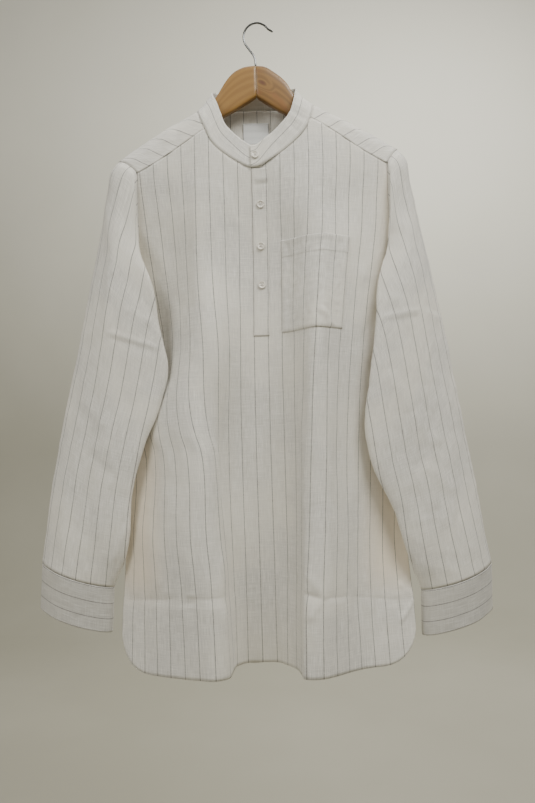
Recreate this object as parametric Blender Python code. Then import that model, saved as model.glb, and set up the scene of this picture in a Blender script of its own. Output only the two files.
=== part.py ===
"""Long-sleeved cotton kurta hung on a wooden hanger.

Metres, Z up, the front faces -Y.  The origin is the inner top of the hook,
where the wire rests on the rail that carries it.
The cloth is cut flat and folded: every panel has flat coordinates
(a = distance across the cloth from the centre front, z = height) and a table
of how far each part of it stands forward.  The width in x follows from the
cloth keeping its own length.
"""
import math

import bpy
import numpy as np

# Cloth sizes
PITCH = 0.0208          # column spacing of the fold tables
HALF_FRONT = 0.260      # half of the front's flat width
HALF_BACK = 0.245       # half of the back's flat width
WALL = 0.0013           # body cloth with its seam allowances
BAND_WALL = 0.0018      # collar and cuffs, two layers
SEAM = 0.0002           # half of the gap left at a seam
UNDERARM_Z = -0.445
SLIT_Z = -0.855
CORNER_Z = -0.890
HEM_Z = -0.943
BACK_HEM_Z = -0.952
COLLAR_HEIGHT = 0.0345
COLLAR_SEAM = 0.0012    # the band starts this far above the neck seam
CUFF_HEIGHT = 0.0615
PLACKET_LEFT = -0.0108
PLACKET_RIGHT = 0.0124
PLACKET_TOP = -0.2410
PLACKET_BOTTOM = -0.4855
POCKET_LEFT = 0.0312
POCKET_RIGHT = 0.1372
POCKET_TOP = -0.3475
POCKET_BOTTOM = -0.4830
BUTTON_R = 0.0055
BUTTON_T = 0.0024
WIRE_R = 0.0016
WOOD_HALF = 0.0066

# How far the front stands forward, in millimetres of y, by height.
# The columns run from the left side seam to the right one, PITCH apart.
FRONT_Y = {
    -0.150: [-22, -22, -22, -22, -22, -22, -23, -24, -26, -28, -29, -30, -30,
             -30, -30, -30, -29, -28, -26, -25, -24, -23, -22, -22, -22, -22],
    -0.235: [-21, -21, -21, -21, -21, -21, -22, -24, -29, -32, -32, -31, -31,
             -31, -33, -36, -38, -36, -31, -27, -25, -24, -23, -23, -23, -23],
    -0.290: [-10, -10, -10, -10, -11, -12, -14, -21, -31, -34, -31, -27, -25,
             -25, -30, -38, -43, -40, -32, -27, -24, -22, -21, -20, -18, -17],
    -0.359: [12, 11, 9, 8, 5, 1, -7, -19, -31, -33, -27, -22, -20,
             -20, -23, -32, -44, -50, -43, -35, -27, -23, -19, -15, -10, -6],
    -0.499: [15, 14, 13, 9, 1, -14, -30, -44, -53, -53, -39, -25, -20,
             -20, -26, -38, -54, -68, -60, -48, -37, -27, -19, -12, -6, 0],
    -0.664: [-1, -12, -23, -37, -52, -64, -74, -78, -64, -43, -27, -19, -20,
             -20, -26, -40, -59, -76, -73, -59, -45, -34, -25, -18, -12, -7],
    -0.777: [-18, -33, -47, -60, -71, -81, -89, -89, -77, -57, -38, -27, -23,
             -23, -30, -46, -66, -84, -86, -75, -61, -47, -37, -29, -19, -11],
    -0.862: [-33, -46, -57, -68, -77, -86, -93, -96, -84, -61, -41, -28, -25,
             -26, -38, -55, -75, -95, -97, -86, -73, -60, -52, -46, -41, -36],
    -0.960: [-46, -57, -65, -74, -83, -90, -96, -101, -89, -65, -44, -30, -29,
             -31, -46, -63, -83, -104, -104, -94, -82, -72, -65, -61, -59, -56],
}
CENTRE_X = {-0.150: -0.0055, -0.235: -0.0055, -0.359: -0.0063, -0.499: -0.0088, -0.960: -0.0082}
# Height of the back's resting line in y, before its own folds are added.
BACK_Y = {-0.150: 0.022, -0.225: 0.020, -0.300: 0.019, -0.400: 0.020, -0.500: 0.021,
          -0.664: 0.010, -0.777: 0.002, -0.960: -0.004}


def smooth(xs, ys, q):
    """Curve through the knots (xs rising); ys may hold rows of values."""
    xs = np.asarray(xs, float)
    ys = np.asarray(ys, float)
    q = np.asarray(q, float)
    flat = ys.reshape(len(xs), -1)
    h = np.diff(xs)[:, None]
    d = np.diff(flat, axis=0) / h
    m = np.empty_like(flat)
    m[0] = d[0]
    m[-1] = d[-1]
    if len(xs) > 2:
        m[1:-1] = (d[:-1] * h[1:] + d[1:] * h[:-1]) / (h[1:] + h[:-1])
    i = np.clip(np.searchsorted(xs, q) - 1, 0, len(xs) - 2)
    w = xs[i + 1] - xs[i]
    t = np.clip((q - xs[i]) / w, 0.0, 1.0)[:, None]
    w = w[:, None]
    out = ((2 * t ** 3 - 3 * t ** 2 + 1) * flat[i] + (t ** 3 - 2 * t ** 2 + t) * w * m[i]
           + (-2 * t ** 3 + 3 * t ** 2) * flat[i + 1] + (t ** 3 - t ** 2) * w * m[i + 1])
    return out.reshape((len(q),) + ys.shape[1:])


def knots(table):
    zs = sorted(table)
    return np.array(zs), np.array([table[z] for z in zs], float)


def step(x):
    x = np.clip(x, 0.0, 1.0)
    return x * x * (3.0 - 2.0 * x)


class Panel:
    """A folded cloth panel held as fine tables of x and y over (a, z)."""

    def __init__(self, half, side):
        self.half = half
        self.side = side
        self.a = np.linspace(-half, half, 261)
        self.z = np.linspace(-0.96, -0.15, 163)

    def set_tables(self, x, y):
        self.x = x
        self.y = y

    def read(self, table, a, z):
        ia = np.clip((a - self.a[0]) / (self.a[1] - self.a[0]), 0, len(self.a) - 1.0001)
        iz = np.clip((z - self.z[0]) / (self.z[1] - self.z[0]), 0, len(self.z) - 1.0001)
        i = ia.astype(int)
        j = iz.astype(int)
        u = ia - i
        v = iz - j
        return ((table[j, i] * (1 - u) + table[j, i + 1] * u) * (1 - v)
                + (table[j + 1, i] * (1 - u) + table[j + 1, i + 1] * u) * v)

    def surface(self, a, z):
        a = np.asarray(a, float)
        z = np.asarray(z, float)
        return np.stack([self.read(self.x, a, z), self.read(self.y, a, z), z], axis=-1)

    def normal(self, a, z):
        """Unit normal that points out of the garment."""
        e = 0.003
        pa = self.surface(a + e, z) - self.surface(a - e, z)
        pz = self.surface(a, z + e) - self.surface(a, z - e)
        n = np.cross(pa, pz)
        n /= np.maximum(np.linalg.norm(n, axis=-1, keepdims=True), 1e-9)
        return n * self.side

    def at(self, a, z, out=0.0):
        p = self.surface(a, z)
        if out:
            p = p + self.normal(a, z) * out
        return p


def widths(y, a):
    """x from the centre, for cloth that keeps its length: rows of y over a."""
    dy = np.diff(y, axis=1)
    da = a[1] - a[0]
    dx = np.sqrt(np.maximum(da * da - dy * dy, (0.12 * da) ** 2))
    x = np.concatenate([np.zeros((len(y), 1)), np.cumsum(dx, axis=1)], axis=1)
    mid = len(a) // 2
    return x - x[:, mid:mid + 1]


def make_front():
    panel = Panel(HALF_FRONT, 1.0)
    zs, rows = knots(FRONT_Y)
    by_z = smooth(zs, rows, panel.z) / 1000.0
    cols = (np.arange(26) - 12.5) * PITCH
    y = smooth(cols, by_z.T, panel.a).T
    cz, cx = knots(CENTRE_X)
    x = widths(y, panel.a) + smooth(cz, cx, panel.z)[:, None]
    panel.set_tables(x, y)
    return panel


def make_back(front):
    """The back's folds are as deep as its width asks for at each height."""
    panel = Panel(HALF_BACK, -1.0)
    bz, by = knots(BACK_Y)
    rest = smooth(bz, by, panel.z)
    cz, cx = knots(CENTRE_X)
    centre = smooth(cz, cx, panel.z)
    edge = {}
    for sign in (-1, 1):
        edge[sign] = front.surface(np.full(len(panel.z), sign * HALF_FRONT), panel.z)
    y = np.zeros((len(panel.z), len(panel.a)))
    x = np.zeros_like(y)
    for sign in (-1, 1):
        pick = panel.a * sign >= -1e-9
        s = np.abs(panel.a[pick])
        order = np.argsort(s)
        s = s[order]
        near = step((s - 0.165) / (HALF_BACK - 0.165))
        u = np.clip((HALF_BACK - s) / 0.09, 0, 1)
        swell = 4 * u * (1 - u) * (1 - 0.5 * u)
        wave = 0.5 - 0.5 * np.cos(2 * math.pi * (s - 0.012 * sign - 0.035) / 0.098)
        wave = wave * step((s + 0.03) / 0.06) * (1 - step((s - 0.185) / 0.06))
        for j, z in enumerate(panel.z):
            seam_y = edge[sign][j, 1] + 2 * SEAM + 0.26 * max(0.0, SLIT_Z - z)
            line = rest[j] + (seam_y - rest[j]) * near + 0.0090 * swell
            target = abs(edge[sign][j, 0] - centre[j])
            low, high = 0.0, 0.055
            for _ in range(22):
                depth = 0.5 * (low + high)
                row = line + depth * wave
                reach = np.sqrt(np.maximum(np.diff(s) ** 2 - np.diff(row) ** 2, 1e-9)).sum()
                if reach > target:
                    low = depth
                else:
                    high = depth
            row = line + depth * wave
            run = np.concatenate([[0.0], np.cumsum(
                np.sqrt(np.maximum(np.diff(s) ** 2 - np.diff(row) ** 2, 1e-9)))])
            run = run * (1 + step((s / HALF_BACK)) * (target / run[-1] - 1))
            idx = np.where(pick)[0][order]
            y[j, idx] = row
            x[j, idx] = centre[j] + sign * run
    # even out the small differences between neighbouring heights
    for _ in range(3):
        y[1:-1] = (y[:-2] + 2 * y[1:-1] + y[2:]) / 4
        x[1:-1] = (x[:-2] + 2 * x[1:-1] + x[2:]) / 4
    panel.set_tables(x, y)
    return panel


def along(points, n, bend=True):
    """n points evenly spaced along a line through the given points."""
    points = np.asarray(points, float)
    gap = np.linalg.norm(np.diff(points, axis=0), axis=1)
    run = np.concatenate([[0.0], np.cumsum(gap)])
    if bend and len(points) > 2:
        fine = smooth(run, points, np.linspace(0, run[-1], 40 * len(points)))
        gap = np.linalg.norm(np.diff(fine, axis=0), axis=1)
        run = np.concatenate([[0.0], np.cumsum(gap)])
        points = fine
    q = np.linspace(0, run[-1], n)
    return np.stack([np.interp(q, run, points[:, k]) for k in range(points.shape[1])], axis=1)


# Cut lines in flat coordinates (a, z)
FRONT_ARM = {
    -1: [(-0.260, UNDERARM_Z), (-0.244, -0.438), (-0.224, -0.419), (-0.204, -0.386),
         (-0.192, -0.340), (-0.186, -0.290), (-0.180, -0.2385)],
    1: [(0.260, UNDERARM_Z), (0.247, -0.438), (0.229, -0.419), (0.211, -0.386),
        (0.200, -0.340), (0.195, -0.290), (0.190, -0.2350)],
}
FRONT_YOKE = {
    -1: [(-0.180, -0.2385), (-0.146, -0.2200), (-0.112, -0.1985), (-0.0775, -0.1775)],
    1: [(0.190, -0.2350), (0.152, -0.2130), (0.114, -0.1880), (0.0775, -0.1660)],
}
NECK_FRONT = [(-0.0775, -0.1775), (-0.0690, -0.1975), (-0.0500, -0.2170), (-0.0270, -0.2325),
              (-0.0140, -0.2388), (-0.0040, -0.2396), (0.0050, -0.2366), (0.0170, -0.2288),
              (0.0290, -0.2212), (0.0530, -0.2022), (0.0700, -0.1826), (0.0775, -0.1660)]
BACK_ARM = {
    -1: [(-0.245, UNDERARM_Z), (-0.229, -0.438), (-0.210, -0.418), (-0.192, -0.384),
         (-0.181, -0.338), (-0.175, -0.290), (-0.172, -0.2520)],
    1: [(0.245, UNDERARM_Z), (0.229, -0.438), (0.210, -0.418), (0.192, -0.384),
        (0.183, -0.338), (0.177, -0.290), (0.172, -0.2480)],
}
BACK_END = 0.172        # half of the back seam of the yoke, across the cloth
BACK_YOKE = [(-0.172, -0.2520), (-0.120, -0.2400), (-0.060, -0.2300), (0.000, -0.2260),
             (0.060, -0.2285), (0.120, -0.2370), (0.172, -0.2480)]


def hem_line(half, hem_z, n):
    """The lower edge from side to side with its two rounded corners."""
    r_a = 0.050
    r_z = hem_z - CORNER_Z
    left = [(-half + r_a * (1 - math.cos(t)), CORNER_Z + r_z * math.sin(t))
            for t in np.linspace(0, math.pi / 2, 9)]
    right = [(-p[0], p[1]) for p in reversed(left)]
    return np.array(left + [(-half * 0.4, hem_z), (0.0, hem_z), (half * 0.4, hem_z)] + right)


def split(total, shares):
    counts = [max(1, int(round(total * s / sum(shares)))) for s in shares]
    counts[len(counts) // 2] += total - sum(counts)
    return counts


def joined(parts, counts):
    """Edge points through several lines, each cut into its count of steps."""
    out = []
    for line, count in zip(parts, counts):
        pts = along(line, count + 1)
        out.extend(pts if not out else pts[1:])
    return np.array(out)


def front_edges(columns):
    arm_l = FRONT_ARM[-1]
    arm_r = list(reversed(FRONT_ARM[1]))
    yoke_r = list(reversed(FRONT_YOKE[1]))
    counts = split(columns, [7, 5, 12, 5, 7])
    top = joined([arm_l, FRONT_YOKE[-1], NECK_FRONT, yoke_r, arm_r], counts)
    hem = hem_line(HALF_FRONT, HEM_Z, columns)
    stops = [-HALF_FRONT, -0.176, -0.0775, 0.0775, 0.184, HALF_FRONT]
    low = hem_steps(hem, stops, counts)
    return top, low, counts


def back_edges(columns):
    counts = [7, YOKE_BACK, 7]
    top = joined([BACK_ARM[-1], BACK_YOKE, list(reversed(BACK_ARM[1]))], counts)
    hem = hem_line(HALF_BACK, BACK_HEM_Z, columns)
    low = hem_steps(hem, [-HALF_BACK, -0.160, 0.160, HALF_BACK], counts)
    return top, low, counts


def hem_steps(hem, stops, counts):
    run = np.concatenate([[0.0], np.cumsum(np.linalg.norm(np.diff(hem, axis=0), axis=1))])
    marks = np.interp(stops, hem[:, 0], run)
    marks[0] = 0.0
    marks[-1] = run[-1]
    q = []
    for k, count in enumerate(counts):
        q.extend(list(np.linspace(marks[k], marks[k + 1], count + 1))[(1 if q else 0):])
    return np.stack([np.interp(q, run, hem[:, 0]), np.interp(q, run, hem[:, 1])], axis=1)


def panel_flat(edges, rows):
    """Flat coordinates of the whole panel: rows x columns x 2."""
    top, low, _ = edges
    t = np.linspace(0, 1, rows + 1)[:, None, None]
    return top[None] * (1 - t) + low[None] * t


# The shoulder piece
NECK_SIDE = {-1: (-0.0965, 0.000, -0.1377), 1: (0.0769, 0.000, -0.1347)}
TIP = {-1: (-0.2165, 0.000, -0.2135), 1: (0.2035, 0.000, -0.2065)}


def yoke_lines(front, back):
    """Lines from the neck to the outer edge, in order from left front to right."""
    lines = []
    for sign in (-1, 1):
        seam = np.array(FRONT_YOKE[sign])[::-1] + (0.0, 2 * SEAM)
        l0 = along(front.at(seam[:, 0], seam[:, 1]), 9)
        side = np.array(NECK_SIDE[sign])
        tip = np.array(TIP[sign])
        l2 = along([side, side * 0.5 + tip * 0.5 + (0, 0, 0.0035), tip], 9)
        l1 = 0.5 * (l0 + l2) + np.outer(np.linspace(1, 0.8, 9), (0.0030 * sign, -0.0060, 0.0060))
        s_back = back.at(np.array([sign * BACK_END]), np.array([BACK_ARM[sign][-1][1] + 2 * SEAM]))[0]
        neck_b = side + np.array((-0.016 * sign, 0.0225, 0.0085))
        l4 = along([neck_b, 0.5 * (neck_b + s_back) + (0, 0.001, 0.002), s_back], 9)
        l3 = 0.5 * (l2 + l4) + np.outer(np.linspace(0.8, 1, 9), (0.0025 * sign, 0.0050, 0.0045))
        group = [l0, l1, l2, l3, l4]
        for share, neck_x, neck_z in ((0.66, 0.052, 0.0112), (0.33, 0.025, 0.0128)):
            a = sign * BACK_END * share
            z = np.interp(a, [p[0] for p in BACK_YOKE], [p[1] for p in BACK_YOKE]) + 2 * SEAM
            low = back.at(np.array([a]), np.array([z]))[0]
            top = np.array((-0.0098 + sign * neck_x, 0.0245, -0.1377 + neck_z))
            group.append(along([top, 0.5 * (top + low) + (0, 0.001, 0), low], 9))
        lines.append(group)
    z0 = -0.2260 + 2 * SEAM
    low = back.at(np.array([0.0]), np.array([z0]))[0]
    top = np.array((-0.0098, 0.0250, -0.1243))
    middle = along([top, 0.5 * (top + low) + (0, 0.001, 0), low], 9)
    return np.array(lines[0] + [middle] + lines[1][::-1])


YOKE_ARM = 10            # steps round each shoulder end
YOKE_BACK = 18          # steps along the back seam


def seam_a(n):
    """The a positions of the back seam, evenly spaced along it."""
    return along(BACK_YOKE, n + 1)


def yoke_marks(lines, arm, across):
    """Positions of the yoke's columns, counted in lines."""
    outer = lines[:, -1]
    inner = lines[:, 4]
    gap = 0.6 * np.linalg.norm(np.diff(outer, axis=0), axis=1)
    gap = gap + 0.4 * np.linalg.norm(np.diff(inner, axis=0), axis=1)
    run = np.concatenate([[0.0], np.cumsum(gap)])
    left = np.interp(np.linspace(0, run[4], arm + 1), run[:5], np.arange(5.0))
    right = np.interp(np.linspace(run[10], run[14], arm + 1), run[10:15], np.arange(10.0, 15.0))
    a = seam_a(across)[:, 0]
    middle = 4.0 + (a + BACK_END) / (BACK_END / 3)
    return np.concatenate([left, middle[1:-1], right])


def yoke_grid(front, back, rows, arm, across):
    """rows x columns points from the neck edge (row 0) to the outer edge."""
    lines = yoke_lines(front, back)
    marks = yoke_marks(lines, arm, across)
    wide = smooth(np.arange(15.0), lines, marks)
    grid = smooth(np.arange(9.0), wide.transpose(1, 0, 2), np.linspace(0, 8, rows + 1))
    seam = seam_a(across)
    low = back.at(seam[:, 0], seam[:, 1] + SEAM)
    share = (np.linspace(0, 1, rows + 1) ** 2)[:, None, None]
    cols = np.arange(arm, arm + across + 1)
    grid[:, cols] += share * (low - grid[-1, cols])[None]
    return grid


def yoke_end(front, back, sign, n):
    """The yoke's outer edge at one shoulder, from the front seam to the back seam."""
    lines = yoke_lines(front, back)
    marks = yoke_marks(lines, n, YOKE_BACK)
    marks = marks[:n + 1] if sign < 0 else marks[-n - 1:][::-1]
    return smooth(np.arange(15.0), lines[:, -1], marks)


# Sleeves
# Rings from below the shoulder to the cuff.  Each gives the outer fold, two
# points of the front layer, the inner fold, the underarm line and two points
# of the back layer.
RINGS = {
    -1: [
        [(-0.2325, 0.001, -0.2580), (-0.2185, -0.024, -0.3050), (-0.1930, -0.029, -0.3500),
         (-0.1690, -0.025, -0.3980), (-0.2435, 0.007, -0.4620), (-0.2270, 0.017, -0.3950),
         (-0.2165, 0.018, -0.3150)],
        [(-0.2460, 0.000, -0.3350), (-0.2220, -0.031, -0.3800), (-0.1880, -0.036, -0.4250),
         (-0.1555, -0.029, -0.4700), (-0.2440, -0.001, -0.4950), (-0.2470, 0.009, -0.4420),
         (-0.2410, 0.012, -0.3850)],
        [(-0.2625, 0.000, -0.4150), (-0.2350, -0.031, -0.4500), (-0.1920, -0.038, -0.4920),
         (-0.1435, -0.030, -0.5300), (-0.2300, -0.010, -0.5420), (-0.2530, 0.003, -0.5020),
         (-0.2570, 0.008, -0.4550)],
        [(-0.2780, 0.000, -0.4950), (-0.2500, -0.028, -0.5250), (-0.2050, -0.038, -0.5600),
         (-0.1560, -0.033, -0.5850), (-0.2100, -0.018, -0.5920), (-0.2410, -0.006, -0.5680),
         (-0.2640, 0.004, -0.5320)],
        [(-0.2940, 0.000, -0.5700), (-0.2680, -0.025, -0.5950), (-0.2220, -0.039, -0.6250),
         (-0.1780, -0.038, -0.6400), (-0.2120, -0.024, -0.6420), (-0.2450, -0.009, -0.6220),
         (-0.2770, 0.003, -0.5950)],
        [(-0.3090, 0.000, -0.6450), (-0.2850, -0.025, -0.6650), (-0.2420, -0.038, -0.6900),
         (-0.1950, -0.040, -0.7050), (-0.2220, -0.025, -0.7000), (-0.2550, -0.009, -0.6880),
         (-0.2920, 0.002, -0.6650)],
        [(-0.3205, -0.002, -0.7200), (-0.2980, -0.027, -0.7370), (-0.2550, -0.040, -0.7580),
         (-0.2000, -0.041, -0.7700), (-0.2280, -0.026, -0.7680), (-0.2620, -0.008, -0.7570),
         (-0.3020, 0.001, -0.7370)],
        [(-0.3303, -0.004, -0.8021), (-0.3030, -0.033, -0.8125), (-0.2580, -0.038, -0.8270),
         (-0.2248, -0.026, -0.8345), (-0.2400, -0.013, -0.8300), (-0.2660, -0.004, -0.8220),
         (-0.3040, 0.003, -0.8110)],
    ],
    1: [
        [(0.2205, 0.001, -0.2560), (0.2090, -0.024, -0.3030), (0.1900, -0.030, -0.3500),
         (0.1660, -0.030, -0.4050), (0.2275, -0.010, -0.4620), (0.2165, 0.010, -0.3950),
         (0.2085, 0.016, -0.3150)],
        [(0.2345, 0.000, -0.3350), (0.2140, -0.033, -0.3800), (0.1850, -0.042, -0.4300),
         (0.1545, -0.040, -0.4800), (0.2285, -0.018, -0.4980), (0.2335, 0.000, -0.4450),
         (0.2285, 0.010, -0.3880)],
        [(0.2505, 0.000, -0.4200), (0.2240, -0.034, -0.4600), (0.1850, -0.047, -0.5100),
         (0.1425, -0.045, -0.5550), (0.2140, -0.024, -0.5620), (0.2370, -0.007, -0.5200),
         (0.2440, 0.005, -0.4700)],
        [(0.2660, 0.000, -0.5100), (0.2360, -0.032, -0.5450), (0.1880, -0.048, -0.5900),
         (0.1335, -0.047, -0.6200), (0.1900, -0.031, -0.6280), (0.2230, -0.015, -0.5980),
         (0.2500, 0.001, -0.5580)],
        [(0.2780, 0.000, -0.5900), (0.2500, -0.030, -0.6200), (0.2000, -0.046, -0.6550),
         (0.1430, -0.048, -0.6820), (0.1840, -0.035, -0.6830), (0.2160, -0.020, -0.6600),
         (0.2560, -0.001, -0.6200)],
        [(0.2880, 0.000, -0.6600), (0.2620, -0.030, -0.6880), (0.2180, -0.045, -0.7150),
         (0.1680, -0.047, -0.7350), (0.2000, -0.034, -0.7350), (0.2280, -0.019, -0.7150),
         (0.2660, -0.001, -0.6850)],
        [(0.2985, -0.002, -0.7350), (0.2750, -0.031, -0.7570), (0.2350, -0.045, -0.7820),
         (0.1840, -0.044, -0.7950), (0.2100, -0.031, -0.7950), (0.2380, -0.013, -0.7820),
         (0.2780, -0.001, -0.7570)],
        [(0.3104, -0.004, -0.8189), (0.2840, -0.036, -0.8290), (0.2400, -0.043, -0.8420),
         (0.2052, -0.031, -0.8483), (0.2180, -0.018, -0.8430), (0.2460, -0.006, -0.8370),
         (0.2850, 0.001, -0.8260)],
    ],
}
CUFF_DROP = {-1: (-0.0030, 0.001, -0.0590), 1: (-0.0014, 0.000, -0.0583)}


def moved_in(path, amount, sign):
    """A cut line in flat coordinates moved into the armhole by amount."""
    path = np.asarray(path, float)
    t = np.gradient(path, axis=0)
    t /= np.linalg.norm(t, axis=1, keepdims=True)
    away = np.stack([t[:, 1], -t[:, 0]], axis=1)
    away *= np.sign(away[:, :1] * sign + away[:, 1:] + 1e-9)
    return path + away * amount


def arm_edges(front, back, sign):
    """The armhole seam in three runs: front, under the arm, and back."""
    end = yoke_end(front, back, sign, 16)
    share = (np.arange(17) / 16.0)[:, None]
    cap = end + np.array((sign * 0.0018, 0.0, -0.0008)) + share * (0.0, 0.0, -0.0008)
    tip = 8
    fa = moved_in(along(np.array(FRONT_ARM[sign])[::-1], 25), WALL + 0.0011, sign)
    fpts = front.at(fa[:, 0], fa[:, 1])
    ba = moved_in(along(BACK_ARM[sign], 25), 0.0016, sign)
    bpts = back.at(ba[:, 0], ba[:, 1])
    part = 14
    run_front = list(cap[tip:0:-1]) + list(fpts[1:part + 1])
    corner = fpts[-2] + (sign * 0.0005, -0.0018, 0.0)
    run_under = list(fpts[part:-2]) + [corner]
    run_back = [corner] + list(bpts[2:-1]) + list(cap[-2:tip - 1:-1])
    return run_front, run_under, run_back


def sleeve_rings(front, back, sign, n_front, n_under, n_back):
    """All rings of one sleeve with the same number of points each."""
    rings = []
    runs = arm_edges(front, back, sign)
    seam = np.concatenate([along(runs[0], n_front + 1)[:-1], along(runs[1], n_under + 1)[:-1],
                           along(runs[2], n_back + 1)[:-1]])
    count = len(seam)
    place = np.arange(count)
    ahead = np.where(place <= n_front, np.sin(np.pi * np.clip(place / n_front, 0, 1) * 0.9), 0)
    under = np.exp(-((place - n_front - n_under * 0.35) / (n_under * 0.55)) ** 2)
    corner = np.exp(-((place - n_front - n_under) / (0.045 * count)) ** 2)
    behind = np.where(place > n_front + n_under,
                      np.sin(np.pi * np.clip((place - n_front - n_under) / n_back, 0, 1)), 0)
    clear = np.zeros((count, 3))
    clear[:, 0] = sign * 0.0006
    clear[:, 1] = -0.0006 * ahead - 0.0010 * under
    rings.append(seam + clear)
    puff = np.zeros((count, 3))
    top = np.exp(-(np.minimum(place, count - place) / (0.12 * count)) ** 2)
    puff[:, 0] = sign * (0.0045 * ahead + 0.0080 * behind + 0.0060 * top + 0.0050 * corner)
    puff[:, 1] = -0.0060 * ahead - 0.0095 * under + 0.0005 * behind
    puff[:, 2] = -0.0030 * (1 - under) - 0.0010 * under - 0.0035 * top - 0.0025 * corner
    rings.append(seam + puff)
    for ring in RINGS[sign]:
        loop = np.array(ring)
        closed = np.concatenate([loop[-2:], loop, loop[:2]])
        gap = np.linalg.norm(np.diff(closed, axis=0), axis=1)
        run = np.concatenate([[0.0], np.cumsum(gap)])
        marks = run[[2, 5, 6, 9]]
        pts = []
        for k, n in enumerate((n_front, n_under, n_back)):
            fine = smooth(run, closed, np.linspace(marks[k], marks[k + 1], 60))
            pts.append(along(fine, n + 1, bend=False)[:-1])
        loop = np.concatenate(pts)
        size = np.linalg.norm(np.diff(loop[n_front - 1:n_front + 2], axis=0), axis=1).mean()
        far = (np.arange(len(loop)) - n_front) * size / 0.012
        far = far * np.exp(1 - np.abs(far)) * (np.abs(far) < 8)
        loop[:, 1] += 0.0026 * far
        rings.append(loop)
    return np.array(rings)


def sleeve_grid(front, back, sign, n_front, n_under, n_back, rows):
    rings = sleeve_rings(front, back, sign, n_front, n_under, n_back)
    gap = np.linalg.norm(np.diff(rings, axis=0), axis=2).mean(axis=1)
    run = np.concatenate([[0.0], np.cumsum(gap)])
    q = np.concatenate([[0.0, run[1]], np.linspace(run[1], run[-1], rows)[1:]])
    return smooth(run, rings, q)


# Meshes
def grid_normals(p, wrap):
    if wrap:
        du = np.roll(p, -1, axis=1) - np.roll(p, 1, axis=1)
    else:
        du = np.gradient(p, axis=1)
    dv = np.gradient(p, axis=0)
    n = np.cross(du, dv)
    return n / np.maximum(np.linalg.norm(n, axis=2, keepdims=True), 1e-9)


def face_normals(p, wrap):
    """Unit normals of the grid points from the cells round each of them."""
    q = np.concatenate([p, p[:, :1]], axis=1) if wrap else p
    cell = np.cross(q[1:, 1:] - q[:-1, :-1], q[1:, :-1] - q[:-1, 1:])
    cell /= np.maximum(np.linalg.norm(cell, axis=2, keepdims=True), 1e-12) ** 0.5
    n = np.zeros(p.shape)
    cols = p.shape[1]
    for i in (0, 1):
        for j in (0, 1):
            part = n[i:i + cell.shape[0]]
            if wrap:
                part += np.roll(cell, j, axis=1)[:, :cols]
            else:
                part[:, j:j + cell.shape[1]] += cell
    return n / np.maximum(np.linalg.norm(n, axis=2, keepdims=True), 1e-12)


def shell(name, p, thick, flip=False, wrap=False):
    """A closed solid: the grid p and the same grid moved outward by thick."""
    n = face_normals(p, wrap)
    if flip:
        n = -n
    rows, cols = p.shape[:2]
    outer = p + n * thick
    verts = np.concatenate([p.reshape(-1, 3), outer.reshape(-1, 3)])
    size = rows * cols
    faces = []
    last = cols if wrap else cols - 1
    for i in range(rows - 1):
        for j in range(last):
            k = (j + 1) % cols
            a, b, c, d = i * cols + j, i * cols + k, (i + 1) * cols + k, (i + 1) * cols + j
            if np.linalg.norm(verts[a] - verts[c]) <= np.linalg.norm(verts[b] - verts[d]):
                halves = ((a, b, c), (a, c, d))
            else:
                halves = ((a, b, d), (b, c, d))
            for u, v, w in halves:
                faces.append((w, v, u))
                faces.append((u + size, v + size, w + size))
    for j in range(last):
        k = (j + 1) % cols
        e = (rows - 1) * cols
        faces.extend([(j, k, k + size), (j, k + size, j + size)])
        faces.extend([(e + k, e + j, e + j + size), (e + k, e + j + size, e + k + size)])
    if not wrap:
        for i in range(rows - 1):
            a, b = i * cols, (i + 1) * cols
            faces.extend([(b, a, a + size), (b, a + size, b + size)])
            a, b = a + cols - 1, b + cols - 1
            faces.extend([(a, b, b + size), (a, b + size, a + size)])
    if flip:
        faces = [tuple(reversed(f)) for f in faces]
    add_mesh(name, verts, faces)
    return outer, n, faces


class Skin:
    """The outer face of a finished panel, read by its flat coordinates."""

    def __init__(self, flat, outer, normals, faces):
        size = outer.shape[0] * outer.shape[1]
        self.flat = flat.reshape(-1, 2)
        self.outer = outer.reshape(-1, 3)
        self.normals = normals.reshape(-1, 3)
        tris = [tuple(v - size for v in f) for f in faces if min(f) >= size]
        self.tris = np.array(tris)

    def at(self, a, z, out=0.0):
        """Points on the finished face, with how far they are moved out."""
        a = np.asarray(a, float)
        z = np.asarray(z, float)
        t = self.flat[self.tris]
        e1 = t[:, 1] - t[:, 0]
        e2 = t[:, 2] - t[:, 0]
        det = e1[:, 0] * e2[:, 1] - e1[:, 1] * e2[:, 0]
        det = np.where(np.abs(det) < 1e-14, 1e-14, det)
        points = []
        for qa, qz in zip(a.ravel(), z.ravel()):
            d = np.array((qa, qz)) - t[:, 0]
            u = (d[:, 0] * e2[:, 1] - d[:, 1] * e2[:, 0]) / det
            v = (e1[:, 0] * d[:, 1] - e1[:, 1] * d[:, 0]) / det
            k = int(np.argmax(np.minimum(np.minimum(u, v), 1 - u - v)))
            w = np.array((1 - u[k] - v[k], u[k], v[k]))
            n = w @ self.normals[self.tris[k]]
            n /= np.linalg.norm(n)
            points.append(w @ self.outer[self.tris[k]] + n * out)
        return np.array(points).reshape(a.shape + (3,))

    def normal(self, a, z):
        d = self.at(np.array([a]), np.array([z]), 0.01)[0] - self.at(np.array([a]), np.array([z]))[0]
        return d / np.linalg.norm(d)


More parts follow.
